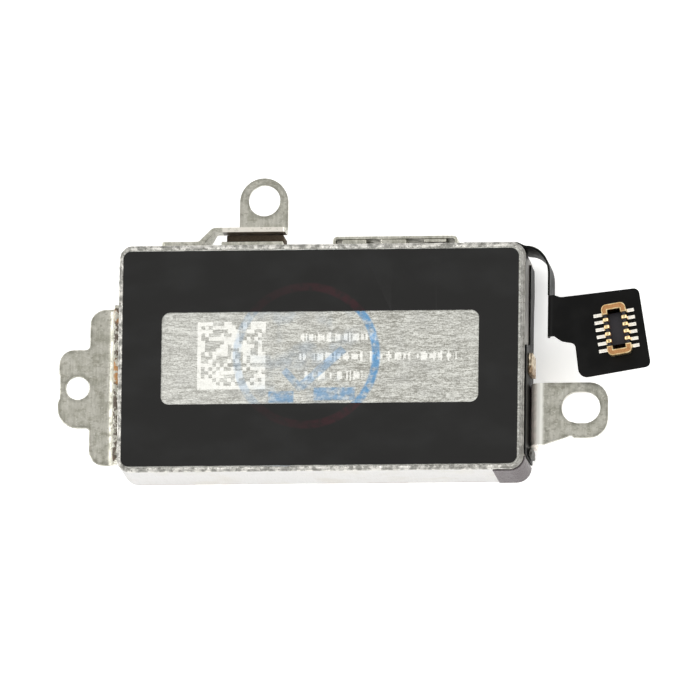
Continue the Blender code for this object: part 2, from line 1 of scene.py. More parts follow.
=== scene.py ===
# %% [markdown]
# # A flat linear vibration motor, finished
# The real object is a small drawn steel box that makes a handset buzz. A heavy mass slides in it
# on leaf springs, three sheet ears screw it down, and a short flexible circuit ends in a plug.
# A CAD model has settled the sizes, so this file only makes the surfaces: rounded cut edges,
# weld spots, bent contacts, wound wire and every finish. We could sculpt over the CAD model by
# eye, but loading it as a fixed frame keeps each piece in place.

import json
import math
from functools import partialmethod

import bmesh
import bpy
from mathutils import Matrix, Vector, kdtree, noise


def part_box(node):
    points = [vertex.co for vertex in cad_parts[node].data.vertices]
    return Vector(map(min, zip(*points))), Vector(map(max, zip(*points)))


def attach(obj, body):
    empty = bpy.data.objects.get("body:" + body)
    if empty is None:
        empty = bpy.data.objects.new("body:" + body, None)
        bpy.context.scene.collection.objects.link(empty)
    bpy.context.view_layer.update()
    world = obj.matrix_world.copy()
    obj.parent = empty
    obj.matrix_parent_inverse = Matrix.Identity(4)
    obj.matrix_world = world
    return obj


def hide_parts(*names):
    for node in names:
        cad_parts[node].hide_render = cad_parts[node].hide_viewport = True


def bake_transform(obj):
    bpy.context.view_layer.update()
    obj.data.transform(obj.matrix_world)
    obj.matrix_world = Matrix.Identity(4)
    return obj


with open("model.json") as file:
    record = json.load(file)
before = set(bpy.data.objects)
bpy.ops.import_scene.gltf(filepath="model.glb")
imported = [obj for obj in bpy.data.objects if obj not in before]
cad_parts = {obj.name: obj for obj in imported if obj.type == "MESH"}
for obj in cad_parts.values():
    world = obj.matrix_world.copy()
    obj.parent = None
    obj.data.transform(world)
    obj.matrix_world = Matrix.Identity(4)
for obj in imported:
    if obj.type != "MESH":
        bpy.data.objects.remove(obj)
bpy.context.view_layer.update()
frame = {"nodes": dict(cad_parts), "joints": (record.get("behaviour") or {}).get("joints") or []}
MM = 0.001


def box_mm(node):
    """Lowest and highest corner of a CAD node, in millimetres."""
    return [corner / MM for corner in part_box(node)]


# %% [markdown]
# ## A short way to write node trees
# Finishes, the sky and Geometry Nodes are all node trees. Blender's own calls need four lines for
# one sum, so two small classes let us write the formula itself: `Link` is a socket that can be
# added and multiplied, `Tree` adds nodes. The sign | keeps the larger of two masks.

# %% Sockets that can be used in sums
class Link:
    """An output socket. A sum on links adds Math nodes to their tree."""

    def __init__(self, tree, node, out):
        self.tree = tree
        self.source = node
        self.socket = node.outputs[out] if node.outputs else None

    def out(self, index):
        return Link(self.tree, self.source, index)

    def math(self, operation, *values):
        inputs = dict(enumerate((self, *values)))
        return self.tree.node("ShaderNodeMath", {"operation": operation}, inputs)

    def __rsub__(self, other):
        return self * -1.0 + other

    __add__ = __radd__ = partialmethod(math, "ADD")
    __sub__ = partialmethod(math, "SUBTRACT")
    __mul__ = __rmul__ = partialmethod(math, "MULTIPLY")
    __truediv__ = partialmethod(math, "DIVIDE")
    __gt__ = partialmethod(math, "GREATER_THAN")
    __lt__ = partialmethod(math, "LESS_THAN")
    __or__ = partialmethod(math, "MAXIMUM")
    __abs__ = partialmethod(math, "ABSOLUTE")
    floor = partialmethod(math, "FLOOR")

    def rise(self, low, high):
        """0 below low, 1 above high, and smooth between them."""
        sockets = {"Value": self, "From Min": low, "From Max": high}
        return self.tree.node("ShaderNodeMapRange", {"interpolation_type": "SMOOTHSTEP"}, sockets)

    def near(self, place, half, soft):
        """1 within half of place, 0 outside, over a soft edge."""
        return 1 - abs(self - place).rise(half - soft, half + soft)


class Tree:
    """A node tree of any kind."""

    def __init__(self, tree):
        self.tree = tree

    def node(self, kind, settings=None, sockets=None, out=0):
        """Add a node: its settings first, then the values or links of its sockets."""
        made = self.tree.nodes.new(kind)
        for name, value in (settings or {}).items():
            setattr(made, name, value)
        for name, value in (sockets or {}).items():
            self.feed(made.inputs[name], value)
        return Link(self, made, out)

    def feed(self, socket, value):
        if isinstance(value, Link):
            self.tree.links.new(value.socket, socket)
        else:
            socket.default_value = (*value, 1.0) if socket.type == "RGBA" else value

    def mix(self, share, first, second):
        """Colour that goes from first to second as share goes from 0 to 1."""
        return self.node("ShaderNodeMix", {"data_type": "RGBA"}, {0: share, 6: first, 7: second}, 2)


print("node helpers ready")

# %% [markdown]
# ## A finish
# A finish is one Principled shader with patterns on it. The patterns read the object's own
# coordinates in millimetres, because every piece has its place in its mesh: scratches run on
# from one piece to the next, and no unwrapping is needed. Bump is in millimetres too.

# %% Finishes
class Finish(Tree):
    """A material with a Principled shader whose patterns are measured in millimetres."""

    def __init__(self, name, **constants):
        self.material = bpy.data.materials.new(name)
        self.material.use_nodes = True
        super().__init__(self.material.node_tree)
        self.shader = self.tree.nodes["Principled BSDF"]
        self.set(**constants)
        self.place = self.scaled(self.node("ShaderNodeTexCoord", out=3), (1 / MM,) * 3)
        parts = self.node("ShaderNodeSeparateXYZ", sockets={"Vector": self.place})
        self.x, self.y, self.z = parts, parts.out(1), parts.out(2)

    def set(self, **values):
        """Set or link shader sockets, written with _ for the space in their names."""
        for name, value in values.items():
            self.feed(self.shader.inputs[name.replace("_", " ")], value)

    def scaled(self, vector, factors):
        return self.node("ShaderNodeVectorMath", {"operation": "MULTIPLY"}, {0: vector, 1: factors})

    def grain(self, scale, detail=3.0, stretch=(1, 1, 1), shift=0.0):
        """Soft noise from 0 to 1 with features 1 / scale millimetres wide, before the stretch."""
        where = self.node("ShaderNodeVectorMath", {"operation": "ADD"},
                          {0: self.scaled(self.place, stretch), 1: (shift, shift, shift)})
        sockets = {"Vector": where, "Scale": scale, "Detail": detail}
        return self.node("ShaderNodeTexNoise", sockets=sockets)

    def done(self, height, depth, strength, **values):
        """Add relief of a depth in millimetres, set the last sockets, and return the material."""
        relief = {"Height": height, "Distance": depth * MM, "Strength": strength}
        self.set(Normal=self.node("ShaderNodeBump", sockets=relief), **values)
        return self.material


print("finish helper ready")

# %% [markdown]
# ## Bright drawn steel of the can
# The can is deep-drawn from thin sheet, so fine lines run up its walls where the die dragged the
# metal, and handling has stained it lightly. An image of steel would tile. Noise stretched along
# Z gives lines of any length, and a second, wide noise gives stains.

# %% Drawn steel
def drawn_steel():
    f = Finish("drawn_steel", Metallic=1.0, Specular_Tint=(0.62, 0.61, 0.61))
    lines = f.grain(16, 4, stretch=(1, 1, 0.07))
    stains = f.grain(0.5, 4, shift=3.0).rise(0.45, 0.7)
    pits = f.grain(11, 6, shift=8.0).rise(0.6, 0.72)
    warm = f.mix(stains, (0.82, 0.82, 0.815), (0.75, 0.735, 0.70))
    # The outside of the right end wall is painted darker: painted shade of the narrow gap between the
    # wall and the right ear
    warm = f.mix(f.x.rise(11.1, 11.2) * 0.75, warm, (0.30, 0.285, 0.24))
    lined = f.mix((lines - 0.3) * 0.5, warm, (0.66, 0.65, 0.63))
    # Pinkish dark dashes, low on the front wall
    dashes = f.grain(0.42, 1, stretch=(1, 0, 0), shift=5.2).rise(0.55, 0.6)
    low = f.z.near(0.32, 0.07, 0.05) * (f.y < -6)
    dashed = f.mix(dashes * low * 0.8, lined, (0.42, 0.31, 0.31))
    # Heat from welding the cover dulls and mottles the top of the rim, most at the flex end
    rim = f.z.rise(3.93, 4.04)
    mottle = f.grain(3.2, 5, shift=13.0).rise(0.36, 0.64)
    scorched = f.mix(mottle, (0.24, 0.235, 0.21), (0.76, 0.74, 0.69))
    scorched = f.mix(f.x.rise(10.6, 10.9) * 0.7, scorched, (0.17, 0.165, 0.15))
    specks = f.grain(9, 4, shift=27.0).rise(0.6, 0.66)
    scorched = f.mix(specks * 0.8, scorched, (0.09, 0.08, 0.065))
    plain = f.mix(pits * 0.5, dashed, (0.45, 0.44, 0.41))
    return f.done(
        lines * 0.4 - pits * 0.6 + rim * mottle, 0.006, 0.6,
        Base_Color=f.mix(rim * 0.9, plain, scorched),
        Roughness=0.24 + lines * 0.16 + stains * 0.1 + rim * 0.08)


CAN_STEEL = drawn_steel()
print("finish:", CAN_STEEL.name)

# %% [markdown]
# ## The inspection stamp
# A round ink stamp was pressed half on the bare steel and half on the black film. On steel it is
# a clear blue, on the film only a dull red sheen. Both finishes read the same formula of X and
# Y: a ring, a tick and two short bars.

# %% Stamp shape
STAMP_CENTRE = (-0.82, 0.09)
STAMP_RADIUS = 3.86


def slanted_bar(f, centre, half_length, half_width, angle):
    """A bar of ink, turned by an angle in degrees."""
    cos, sin = math.cos(math.radians(angle)), math.sin(math.radians(angle))
    x, y = f.x - centre[0], f.y - centre[1]
    along = (x * cos + y * sin).near(0, half_length, 0.06)
    return along * (y * cos - x * sin).near(0, half_width, 0.05)


def stamp_ink(f):
    """How much ink lies at each point, from 0 to 1."""
    x, y = f.x - STAMP_CENTRE[0], f.y - STAMP_CENTRE[1]
    distance = (x * x + y * y).math("SQRT")
    ring = distance.near(STAMP_RADIUS, 0.22, 0.07) * (0.35 + 0.65 * x.rise(-2.5, 2.5))
    tick = slanted_bar(f, (-1.55, -1.25), 0.75, 0.2, -48)
    tick = tick | slanted_bar(f, (0.05, -0.6), 1.6, 0.24, 42)
    bars = slanted_bar(f, (-2.2, -2.2), 0.7, 0.32, 0) | slanted_bar(f, (0.75, -2.05), 1.15, 0.36, 0)
    patchy = f.grain(2.6, 5, shift=21.0).rise(0.3, 0.6)
    return (ring | tick * 0.55 | bars * 0.8) * (0.3 + 0.7 * patchy)


print("stamp ring of radius", STAMP_RADIUS, "mm")

# %% [markdown]
# ## Brushed cover with etched marks
# The cover plate shows through a window in the film. It was brushed along its length, then a
# laser etched a square code and three rows of marks, rough and white. The code here is random
# cells between two solid sides and the rows are random ticks, so nothing can be read. The real
# cuts are far thinner than the sheet, so masks on colour and roughness are enough.

# %% Etched marks
CODE_CORNER = (-6.86, -1.75)
CODE_CELL = 0.21
CODE_CELLS = 18
ROWS = ((1.12, -1.15, 3.05), (0.03, -1.2, 7.5), (-1.03, -1.1, 2.4))   # height, left end, right end
ROW_HALF = 0.29
GROUP = 0.48
TICK = 0.1   # width of one tick


def cell_noise(f, column, row):
    """A random number from 0 to 1 for each whole column and row."""
    cell = f.node("ShaderNodeCombineXYZ", sockets={0: column.floor(), 1: row})
    return f.node("ShaderNodeTexWhiteNoise", {"noise_dimensions": "2D"}, {"Vector": cell})


def etched_code(f):
    across, up = (f.x - CODE_CORNER[0]) / CODE_CELL, (f.y - CODE_CORNER[1]) / CODE_CELL
    half = CODE_CELLS / 2
    inside = across.near(half, half, 0.05) * up.near(half, half, 0.05)
    cells = cell_noise(f, across, up.floor()) > 0.5
    return inside * (cells | (across < 1) | (up < 1))


def etched_rows(f):
    rows = 0.0
    for number, (height, left, right) in enumerate(ROWS):
        along = (f.x - left) / TICK
        reach = ROW_HALF * (0.35 + 0.65 * cell_noise(f, along, number * 7.0 + 1.0))
        ticks = (abs(f.y - height) < reach) * (cell_noise(f, along, number * 7.0) > 0.28)
        group = (f.x - left).math("FLOORED_MODULO", GROUP) < GROUP * 0.76
        rows = ticks * group * (f.x > left) * (f.x < right) + rows
    return rows


print("etched code of", CODE_CELLS * CODE_CELL, "mm and", len(ROWS), "rows of ticks")

# %% Brushed cover finish
def brushed_cover():
    f = Finish("brushed_cover", Metallic=1.0)
    long_lines = f.grain(8, 3, stretch=(0.16, 1, 1), shift=2.0)
    short_lines = f.grain(15, 3, stretch=(0.26, 1, 1), shift=14.0)
    grit = f.grain(19, 2, stretch=(0.6, 1, 1), shift=25.0)
    cloud = f.grain(0.8, 3, shift=31.0)
    streaks = (long_lines * 0.3 + short_lines * 0.35 + grit * 0.35).rise(0.38, 0.62)
    steel = f.mix(streaks, (0.44, 0.43, 0.38), (0.93, 0.93, 0.87))
    steel = f.mix(cloud.rise(0.4, 0.7) * 0.25, steel, (0.66, 0.66, 0.64))
    # Painted reflection: the plate is painted lighter towards its left end
    steel = f.mix(f.x.rise(-9.0, 3.0) * -0.22 + 0.22, steel, (1.0, 1.0, 0.96))
    mark = etched_code(f) + etched_rows(f)
    mark = mark.math("MINIMUM", 1.0) * (0.55 + 0.45 * f.grain(6, 2, shift=40.0).rise(0.3, 0.5))
    ink = stamp_ink(f)
    haze = f.grain(0.9, 4, shift=52.0).rise(0.4, 0.7) * f.x.near(-1.0, 2.6, 0.9)
    etched = f.mix(mark * 0.75, steel, (0.76, 0.755, 0.72))
    tinted = f.mix(haze * 0.35, etched, (0.44, 0.55, 0.68))
    return f.done(
        streaks - mark * 0.4, 0.004, 0.7, Base_Color=f.mix(ink * 0.92, tinted, (0.085, 0.27, 0.50)),
        Roughness=0.30 + streaks * 0.14 + mark * 0.25 + ink * 0.1, Metallic=1 - mark * 0.5 - ink * 0.3)


COVER = brushed_cover()
print("finish:", COVER.name)

# %% [markdown]
# ## Black film
# The film is a satin printed polyester. Close up it has a faint orange peel, a few fingerprints
# and grains of dust. Its colour hardly varies, so most of the detail is in the gloss.

# %% Film finish
def satin_film():
    f = Finish("satin_film", Specular_IOR_Level=0.3)
    peel = f.grain(5, 3)
    smears = f.grain(0.35, 5, stretch=(1, 1.6, 1), shift=11.0).rise(0.4, 0.7)
    dust = f.grain(17, 2, shift=17.0).rise(0.80, 0.84)
    tone = f.mix(smears, (0.0062, 0.0060, 0.0056), (0.0080, 0.0080, 0.0077))
    stamped = f.mix(stamp_ink(f) * 0.55, tone, (0.036, 0.006, 0.010))
    return f.done(
        peel + dust, 0.004, 0.5, Base_Color=f.mix(dust * 0.5, stamped, (0.12, 0.12, 0.115)),
        Roughness=0.40 + smears * 0.10 + peel * 0.05)


FILM = satin_film()
print("finish:", FILM.name)

# %% [markdown]
# ## Tumbled nickel of the ears
# The ears are stamped from steel sheet, nickel plated and tumbled in a drum. That leaves a
# greenish grey face with small bright and dark specks over faint rolling lines, darker near the
# cut edges. Flux, crazed plating, painted shade and a painted highlight sit in known places, so
# masks by place add them.

# %% Nickel finish
RIGHT_BEND = (11.35, 11.86, 12.02, 12.26)   # foot, pale part, brightest line and end of the bend


def tumbled_nickel():
    f = Finish("tumbled_nickel")
    worn = f.node("ShaderNodeAttribute", {"attribute_name": "worn"}, out=2)
    blotches = f.grain(1.6, 5).rise(0.36, 0.64)
    rolled = f.grain(9, 3, stretch=(1, 0.12, 1), shift=4.0).rise(0.35, 0.65)
    fine = f.grain(11, 5, shift=9.0)
    bright = fine.rise(0.54, 0.7)
    scuffs = f.grain(5, 6, stretch=(0.6, 1, 1), shift=23.0).rise(0.52, 0.68)
    face = f.mix(blotches * 0.6 + rolled * 0.3, (0.77, 0.75, 0.665), (0.37, 0.365, 0.30))
    face = f.mix(bright * 0.5, face, (0.92, 0.90, 0.84))
    face = f.mix(scuffs * 0.55, face, (0.20, 0.19, 0.15))
    level = 1 - f.z.rise(2.6, 2.75)
    face = f.mix(worn * level * (0.3 + 0.5 * blotches), face, (0.22, 0.215, 0.18))
    # The rear arm stands on edge: its cut edge is pale, and its face in the gap is painted brown, a
    # painted shade of the deep gap
    arm = (f.y > 6.5) * (f.x < 0) * (f.x > -5.6)
    pale_edge = arm * f.z.rise(3.68, 3.78)
    arm_gap_shade = arm * f.y.near(7.0, 0.16, 0.01) * (1 - f.z.rise(3.6, 3.7))
    face = f.mix(pale_edge * (1 - 0.75 * scuffs), face, (0.66, 0.625, 0.56))
    face = f.mix(arm_gap_shade, face, f.mix(blotches, (0.050, 0.038, 0.026), (0.13, 0.10, 0.072)))
    # The right ear's bend: crazed plating, pale and matt, its cream partly painted light, with a
    # painted highlight line on top
    foot, pale, line, end = RIGHT_BEND
    matt = f.x.rise(foot - 0.1, foot) * (1 - f.x.rise(line, end))
    crazed = f.grain(3, 4, shift=41.0).rise(0.35, 0.65)
    cream = f.mix(crazed, (0.98, 0.87, 0.78), (0.80, 0.74, 0.65))
    cream = f.mix(f.x.rise(pale - 0.25, pale + 0.05), cream, (1.0, 0.99, 0.92))
    face = f.mix(matt, face, cream)
    # Brown flux where the left ear is soldered on, its dark brown partly a painted shade of the
    # crevice by the wall
    seam = f.x.near(-11.42, 0.2, 0.06) * f.z.rise(3.3, 3.8)
    burnt = seam * f.grain(5, 5, stretch=(1, 0.8, 1), shift=6.0).rise(0.42, 0.52)
    rust = f.grain(0.75, 2, shift=33.0).rise(0.5, 0.62)
    flux_and_shade = f.mix(rust, (0.085, 0.062, 0.045), (0.42, 0.20, 0.06))
    return f.done(
        fine * 0.8 + rolled * 0.3, 0.010, 0.6, Base_Color=f.mix(burnt * 0.95, face, flux_and_shade),
        Roughness=0.30 + blotches * 0.08 + scuffs * 0.15 + burnt * 0.35 + matt * 0.15,
        Metallic=1 - burnt * 0.7 - matt - arm_gap_shade * 0.8 - pale_edge * 0.6)


NICKEL = tumbled_nickel()
print("finish:", NICKEL.name)

# %% [markdown]
# ## The other outside finishes
# Each of these is a base tone, a wide noise for wear and a fine one for texture. Glue, the brown
# block of painted shade and moulded polymer are so plain that one function serves them all.

# %% Foil, coverlay, glue and the painted gap shade
def mirror_foil():
    f = Finish("mirror_foil", Metallic=0.3, Specular_IOR_Level=0.02, Specular_Tint=(0.5, 0.47, 0.48))
    wrinkles = f.grain(1.4, 3, stretch=(1, 1, 1.6))
    rub = f.grain(6, 4, shift=7.0).rise(0.5, 0.7)
    return f.done(
        wrinkles, 0.03, 0.35, Base_Color=f.mix(rub * 0.5, (0.095, 0.082, 0.085), (0.135, 0.12, 0.123)),
        Roughness=0.16 + rub * 0.16)


def coverlay():
    f = Finish("black_coverlay", Specular_IOR_Level=0.11)
    weave = f.grain(8, 3)
    smears = f.grain(0.7, 4, shift=12.0).rise(0.4, 0.7)
    ink = f.mix(smears, (0.0025, 0.0025, 0.0024), (0.0045, 0.0044, 0.0042))
    lint = f.grain(15, 3, shift=19.0).rise(0.7, 0.76)
    return f.done(
        weave, 0.006, 0.5, Base_Color=f.mix(lint * 0.4, ink, (0.03, 0.027, 0.023)),
        Roughness=0.42 + smears * 0.14)


def grained(name, colours, roughness, relief, grain, limits=None, **constants):
    """One grain, of a scale, detail and stretch, drives colour, gloss and relief."""
    f = Finish(name, **constants)
    texture = f.grain(*grain)
    share = texture.rise(*limits) if limits else texture
    return f.done(texture, *relief, Base_Color=f.mix(share, *colours),
                  Roughness=roughness[0] + texture * roughness[1])


FOIL, COVERLAY = mirror_foil(), coverlay()
GLUE = grained("cured_glue", ((0.012, 0.012, 0.009), (0.045, 0.043, 0.03)), (0.32, 0.3),
               (0.03, 0.6), (4, 5), (0.35, 0.65), Specular_IOR_Level=0.4)
# A dark brown finish for the block that paints the shade of the gap under the rear arm
SHADE_FILL = grained("foam_tape", ((0.035, 0.026, 0.018), (0.11, 0.085, 0.06)), (0.85, 0.0),
               (0.03, 0.8), (9, 4), Specular_IOR_Level=0.1)
print("finishes:", FOIL.name, COVERLAY.name, GLUE.name, SHADE_FILL.name)

# %% Gold, tin and polymer of the plug, burnt gold of the solder pads
PLUG_CENTRE = (16.32, 1.42)
PLUG_TURN = math.radians(9.5)


def plug_gold():
    """Gold that turns to bright tin on the outer ends of the solder tails."""
    f = Finish("plug_gold", Metallic=1.0)
    x, y = f.x - PLUG_CENTRE[0], f.y - PLUG_CENTRE[1]
    across = abs(x * math.cos(PLUG_TURN) + y * math.sin(PLUG_TURN))
    along = abs(y * math.cos(PLUG_TURN) - x * math.sin(PLUG_TURN))
    tinned = across.rise(0.64, 0.76)
    tone = f.grain(4, 3).rise(0.35, 0.65)
    gold = f.mix(tone, (0.95, 0.66, 0.32), (1.0, 0.80, 0.46))
    # Between the rims and inside the housing the gold is painted brown: painted shade of the groove
    # and the recess
    recess_shade = f.z.near(4.142, 0.013, 0.004) | (across < 0.45) * (along < 1.2) * (f.z < 4.13)
    gold = f.mix(recess_shade, gold, (0.50, 0.25, 0.10))
    return f.done(
        f.grain(22, 3, shift=2.0), 0.004, 0.4, Base_Color=f.mix(tinned, gold, (0.98, 0.94, 0.86)),
        Metallic=1 - tinned * 0.45 - recess_shade * 0.45,
        Roughness=0.2 + tone * 0.12 + f.grain(30, 3, shift=5.0) * 0.08)


def solder_gold():
    f = Finish("solder_gold", Metallic=0.6)
    burnt = f.grain(5, 4).rise(0.35, 0.62)
    tan = f.mix(f.y.rise(-0.42, -0.3), (0.42, 0.30, 0.19), (0.80, 0.70, 0.53))
    return f.done(
        f.grain(9, 3, shift=6.0), 0.012, 0.5, Base_Color=f.mix(burnt * 0.7, tan, (0.20, 0.135, 0.08)),
        Roughness=0.30 + burnt * 0.25)


PLUG_GOLD, SOLDER_GOLD = plug_gold(), solder_gold()
POLYMER = grained("housing_polymer", ((0.010, 0.009, 0.012), (0.022, 0.019, 0.024)), (0.42, 0.15),
                  (0.003, 0.5), (24, 3, (1, 0.3, 1)), Specular_IOR_Level=0.4)
print("finishes:", PLUG_GOLD.name, SOLDER_GOLD.name, POLYMER.name)

# %% [markdown]
# ## Finishes of the inside
# Nothing inside shows while the can is closed, but a shared part may be cut open or taken apart,
# so the inside gets real finishes too. They are alike enough for one function and a table.

# %% Inner finishes
def inner_finish(name, base, worn, roughness, metallic, scale, stretch=(1, 1, 1)):
    f = Finish(name, Metallic=metallic)
    texture = f.grain(scale, 4, stretch=stretch)
    wear = f.grain(1.0, 4, shift=15.0).rise(0.45, 0.7)
    return f.done(
        texture, 0.006, 0.5, Base_Color=f.mix(wear * 0.6 + texture * 0.3, base, worn),
        Roughness=roughness + texture * 0.12 + wear * 0.08)


# name, clean and worn colour, roughness, metallic, grain scale and, where lines run, its stretch
INNER = [
    ("sintered_tungsten", (0.30, 0.30, 0.31), (0.42, 0.42, 0.42), 0.36, 1.0, 14),
    ("magnet_nickel", (0.70, 0.69, 0.67), (0.56, 0.55, 0.53), 0.18, 1.0, 20),
    ("yoke_steel", (0.50, 0.50, 0.49), (0.36, 0.34, 0.31), 0.32, 1.0, 10, (0.1, 1, 1)),
    ("spring_steel", (0.60, 0.60, 0.61), (0.46, 0.45, 0.44), 0.22, 1.0, 12, (1, 0.1, 1)),
    ("stiffener_steel", (0.66, 0.65, 0.62), (0.50, 0.48, 0.44), 0.28, 1.0, 10, (1, 0.1, 1)),
    ("enamelled_copper", (0.72, 0.30, 0.12), (0.56, 0.20, 0.08), 0.20, 1.0, 8),
    ("amber_polyimide", (0.44, 0.20, 0.03), (0.30, 0.12, 0.02), 0.28, 0.0, 6),
    ("moulded_chip", (0.020, 0.020, 0.022), (0.035, 0.034, 0.033), 0.48, 0.0, 24),
    ("stop_rubber", (0.022, 0.022, 0.022), (0.045, 0.044, 0.042), 0.68, 0.0, 16),
]
TUNGSTEN, MAGNET, YOKE, SPRING, STIFFENER, COPPER, AMBER, CHIP, RUBBER = (
    inner_finish(*recipe) for recipe in INNER)
print("inner finishes:", len(INNER))

# %% [markdown]
# ## Dress the CAD nodes that stay
# A node whose CAD shape is already right keeps its mesh and only changes its finish. The rest
# get a new piece further down. The hidden inner nodes are dressed too, so nothing is left bare.

# %% Assign finishes
NODE_FINISH = {
    "cover_plate": COVER, "plug_stiffener": STIFFENER, "coil_flex": AMBER, "position_sensor": CHIP,
    "left_stop": RUBBER, "right_stop": RUBBER, "mass_frame": TUNGSTEN, "yoke_plate": YOKE,
}
for node_name in frame["nodes"]:
    if node_name.startswith("magnet"):
        NODE_FINISH[node_name] = MAGNET
    if node_name.endswith("clamp"):
        NODE_FINISH[node_name] = SPRING
for node_name, finish in NODE_FINISH.items():
    for material_slot in frame["nodes"][node_name].material_slots:
        material_slot.material = finish
print("dressed nodes:", len(NODE_FINISH))

# %% [markdown]
# ## Outlines and solids
# Most pieces are sheet or strip: a flat outline pushed up to a thickness. Blender has curves and
# Solidify for that, but in plain bmesh the outline's points can be nudged one by one for a worn
# edge. All lengths are millimetres until a piece is finished.

# %% Outline helpers
def arc(centre, radius, start, end, steps):
    """Points on an arc, angles in degrees."""
    turn = [math.radians(start + (end - start) * k / steps) for k in range(steps + 1)]
    return [(centre[0] + radius * math.cos(a), centre[1] + radius * math.sin(a)) for a in turn]


def rounded_rectangle(length, width, radius, centre=(0.0, 0.0), steps=12):
    """Closed outline with an arc at each corner."""
    x, y = length / 2 - radius, width / 2 - radius
    corners = ((x, y, 0), (-x, y, 90), (-x, -y, 180), (x, -y, 270))
    return [point for cx, cy, start in corners
            for point in arc((centre[0] + cx, centre[1] + cy), radius, start, start + 90, steps)]


def divided(outline, spacing):
    """The same closed outline with points added, so that none are further apart than spacing."""
    points = []
    for first, second in zip(outline, outline[1:] + outline[:1]):
        first, second = Vector(first), Vector(second)
        parts = max(1, math.ceil((second - first).length / spacing))
        points += [tuple(first.lerp(second, k / parts)) for k in range(parts)]
    return points


def ribbon(path, thickness):
    """Closed outline of a strip of even thickness whose middle follows an open path."""
    left, right = [], []
    for k, point in enumerate(path):
        back = Vector(point) - Vector(path[max(k - 1, 0)])
        ahead = Vector(path[min(k + 1, len(path) - 1)]) - Vector(point)
        along = (back.normalized() + ahead.normalized()).normalized()
        across = Vector((-along.y, along.x)) * thickness / 2
        left.append(tuple(Vector(point) + across))
        right.append(tuple(Vector(point) - across))
    return left + right[::-1]


def slab(outline, low, high, holes=()):
    """Straight solid between two heights, with any through holes."""
    bm = bmesh.new()
    edges = []
    for loop in (outline, *holes):
        verts = [bm.verts.new((x, y, low)) for x, y in loop]
        edges += [bm.edges.new(pair) for pair in zip(verts, verts[1:] + verts[:1])]
    bmesh.ops.triangle_fill(bm, use_beauty=True, edges=edges)
    raised = bmesh.ops.extrude_face_region(bm, geom=bm.faces[:])
    top = [item for item in raised["geom"] if isinstance(item, bmesh.types.BMVert)]
    bmesh.ops.translate(bm, verts=top, vec=(0, 0, high - low))
    return bm


def stacked(loops):
    """Solid through closed loops of equal length, capped at the first and the last."""
    bm = bmesh.new()
    rings = [[bm.verts.new(point) for point in loop] for loop in loops]
    count = len(rings[0])
    for lower, upper in zip(rings, rings[1:]):
        for i in range(count):
            j = (i + 1) % count
            bm.faces.new((lower[i], lower[j], upper[j], upper[i]))
    bm.faces.new(rings[0])
    bm.faces.new(rings[-1])
    return bm


print("outline helpers ready")

# %% Copies of CAD nodes with rounded cut edges
SHARP = math.radians(40)


def wave(x, y, z):
    return noise.noise(Vector((x, y, z)))


def welded_copy(node):
    """A CAD node's shape as one welded solid, in millimetres, with its flat faces whole again."""
    bm = bmesh.new()
    bm.from_mesh(frame["nodes"][node].data)
    bmesh.ops.scale(bm, vec=(1 / MM,) * 3, verts=bm.verts)
    bmesh.ops.remove_doubles(bm, verts=bm.verts, dist=0.0005)
    bmesh.ops.dissolve_limit(bm, angle_limit=math.radians(0.5), verts=bm.verts, edges=bm.edges)
    return bm


def eased(bm, width, segments=3):
    """Round every sharp edge, as a deburring drum does."""
    sharp = [e for e in bm.edges if len(e.link_faces) == 2 and e.calc_face_angle() > SHARP]
    bmesh.ops.bevel(bm, geom=sharp, offset=width, segments=segments, profile=0.5, affect="EDGES",
                    clamp_overlap=True)
    return bm


def gridded(bm, spacing):
    """Cut a solid along even planes in all three directions, so that its faces are small."""
    for axis in range(3):
        normal = Vector(axis == k for k in range(3))
        low = min(vert.co[axis] for vert in bm.verts)
        high = max(vert.co[axis] for vert in bm.verts)
        for k in range(1, math.ceil((high - low) / spacing)):
            bmesh.ops.bisect_plane(bm, geom=bm.verts[:] + bm.edges[:] + bm.faces[:], dist=1e-5,
                                   plane_co=normal * (low + spacing * k), plane_no=normal)
    return bm


def worn_rim(bm, reach=0.2):
    """Set the attribute worn: 1 on a cut edge, fading to 0 at some reach from it."""
    gridded(bm, 0.13)
    bm.normal_update()
    edge = [vert for vert in bm.verts
            if any(face.normal.dot(vert.link_faces[0].normal) < 0.93 for face in vert.link_faces)]
    tree = kdtree.KDTree(len(edge))
    for number, vert in enumerate(edge):
        tree.insert(vert.co, number)
    tree.balance()
    worn = bm.verts.layers.float.new("worn")
    for vert in bm.verts:
        vert[worn] = max(0.0, 1 - tree.find(vert.co)[2] / reach)
    return bm


def rounder(bm, centre, radius, cuts=3):
    """Divide the edges that lie on an upright circle, and move the new points out onto it."""
    centre = Vector(centre)

    def on_circle(vert):
        return abs((vert.co.xy - centre).length - radius) < 0.004

    sides = [edge for edge in bm.edges if all(map(on_circle, edge.verts))
             and (edge.verts[0].co.xy - edge.verts[1].co.xy).length > 0.02]
    made = bmesh.ops.subdivide_edges(bm, edges=sides, cuts=cuts)
    for vert in (item for item in made["geom_inner"] if isinstance(item, bmesh.types.BMVert)):
        out = vert.co.xy - centre
        vert.co.xy = centre + out.normalized() * radius
    return bm


def placed(name, data):
    """A new object in the scene."""
    made = bpy.data.objects.new(name, data)
    bpy.context.scene.collection.objects.link(made)
    return made


def settle(draft, name):
    """Turn a draft object with modifiers into a plain mesh object of the final name."""
    graph = bpy.context.evaluated_depsgraph_get()
    mesh = bpy.data.meshes.new_from_object(draft.evaluated_get(graph), depsgraph=graph)
    bpy.data.objects.remove(draft)
    mesh.name = name
    return placed(name, mesh)


def declared(piece, stands_for, body):
    """Hide the CAD nodes that a piece stands for, and attach it to what it rides on."""
    if stands_for:
        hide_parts(*stands_for)
    if body:
        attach(piece, body)
    print(f"{piece.name}: {len(piece.data.polygons)} faces")
    return piece


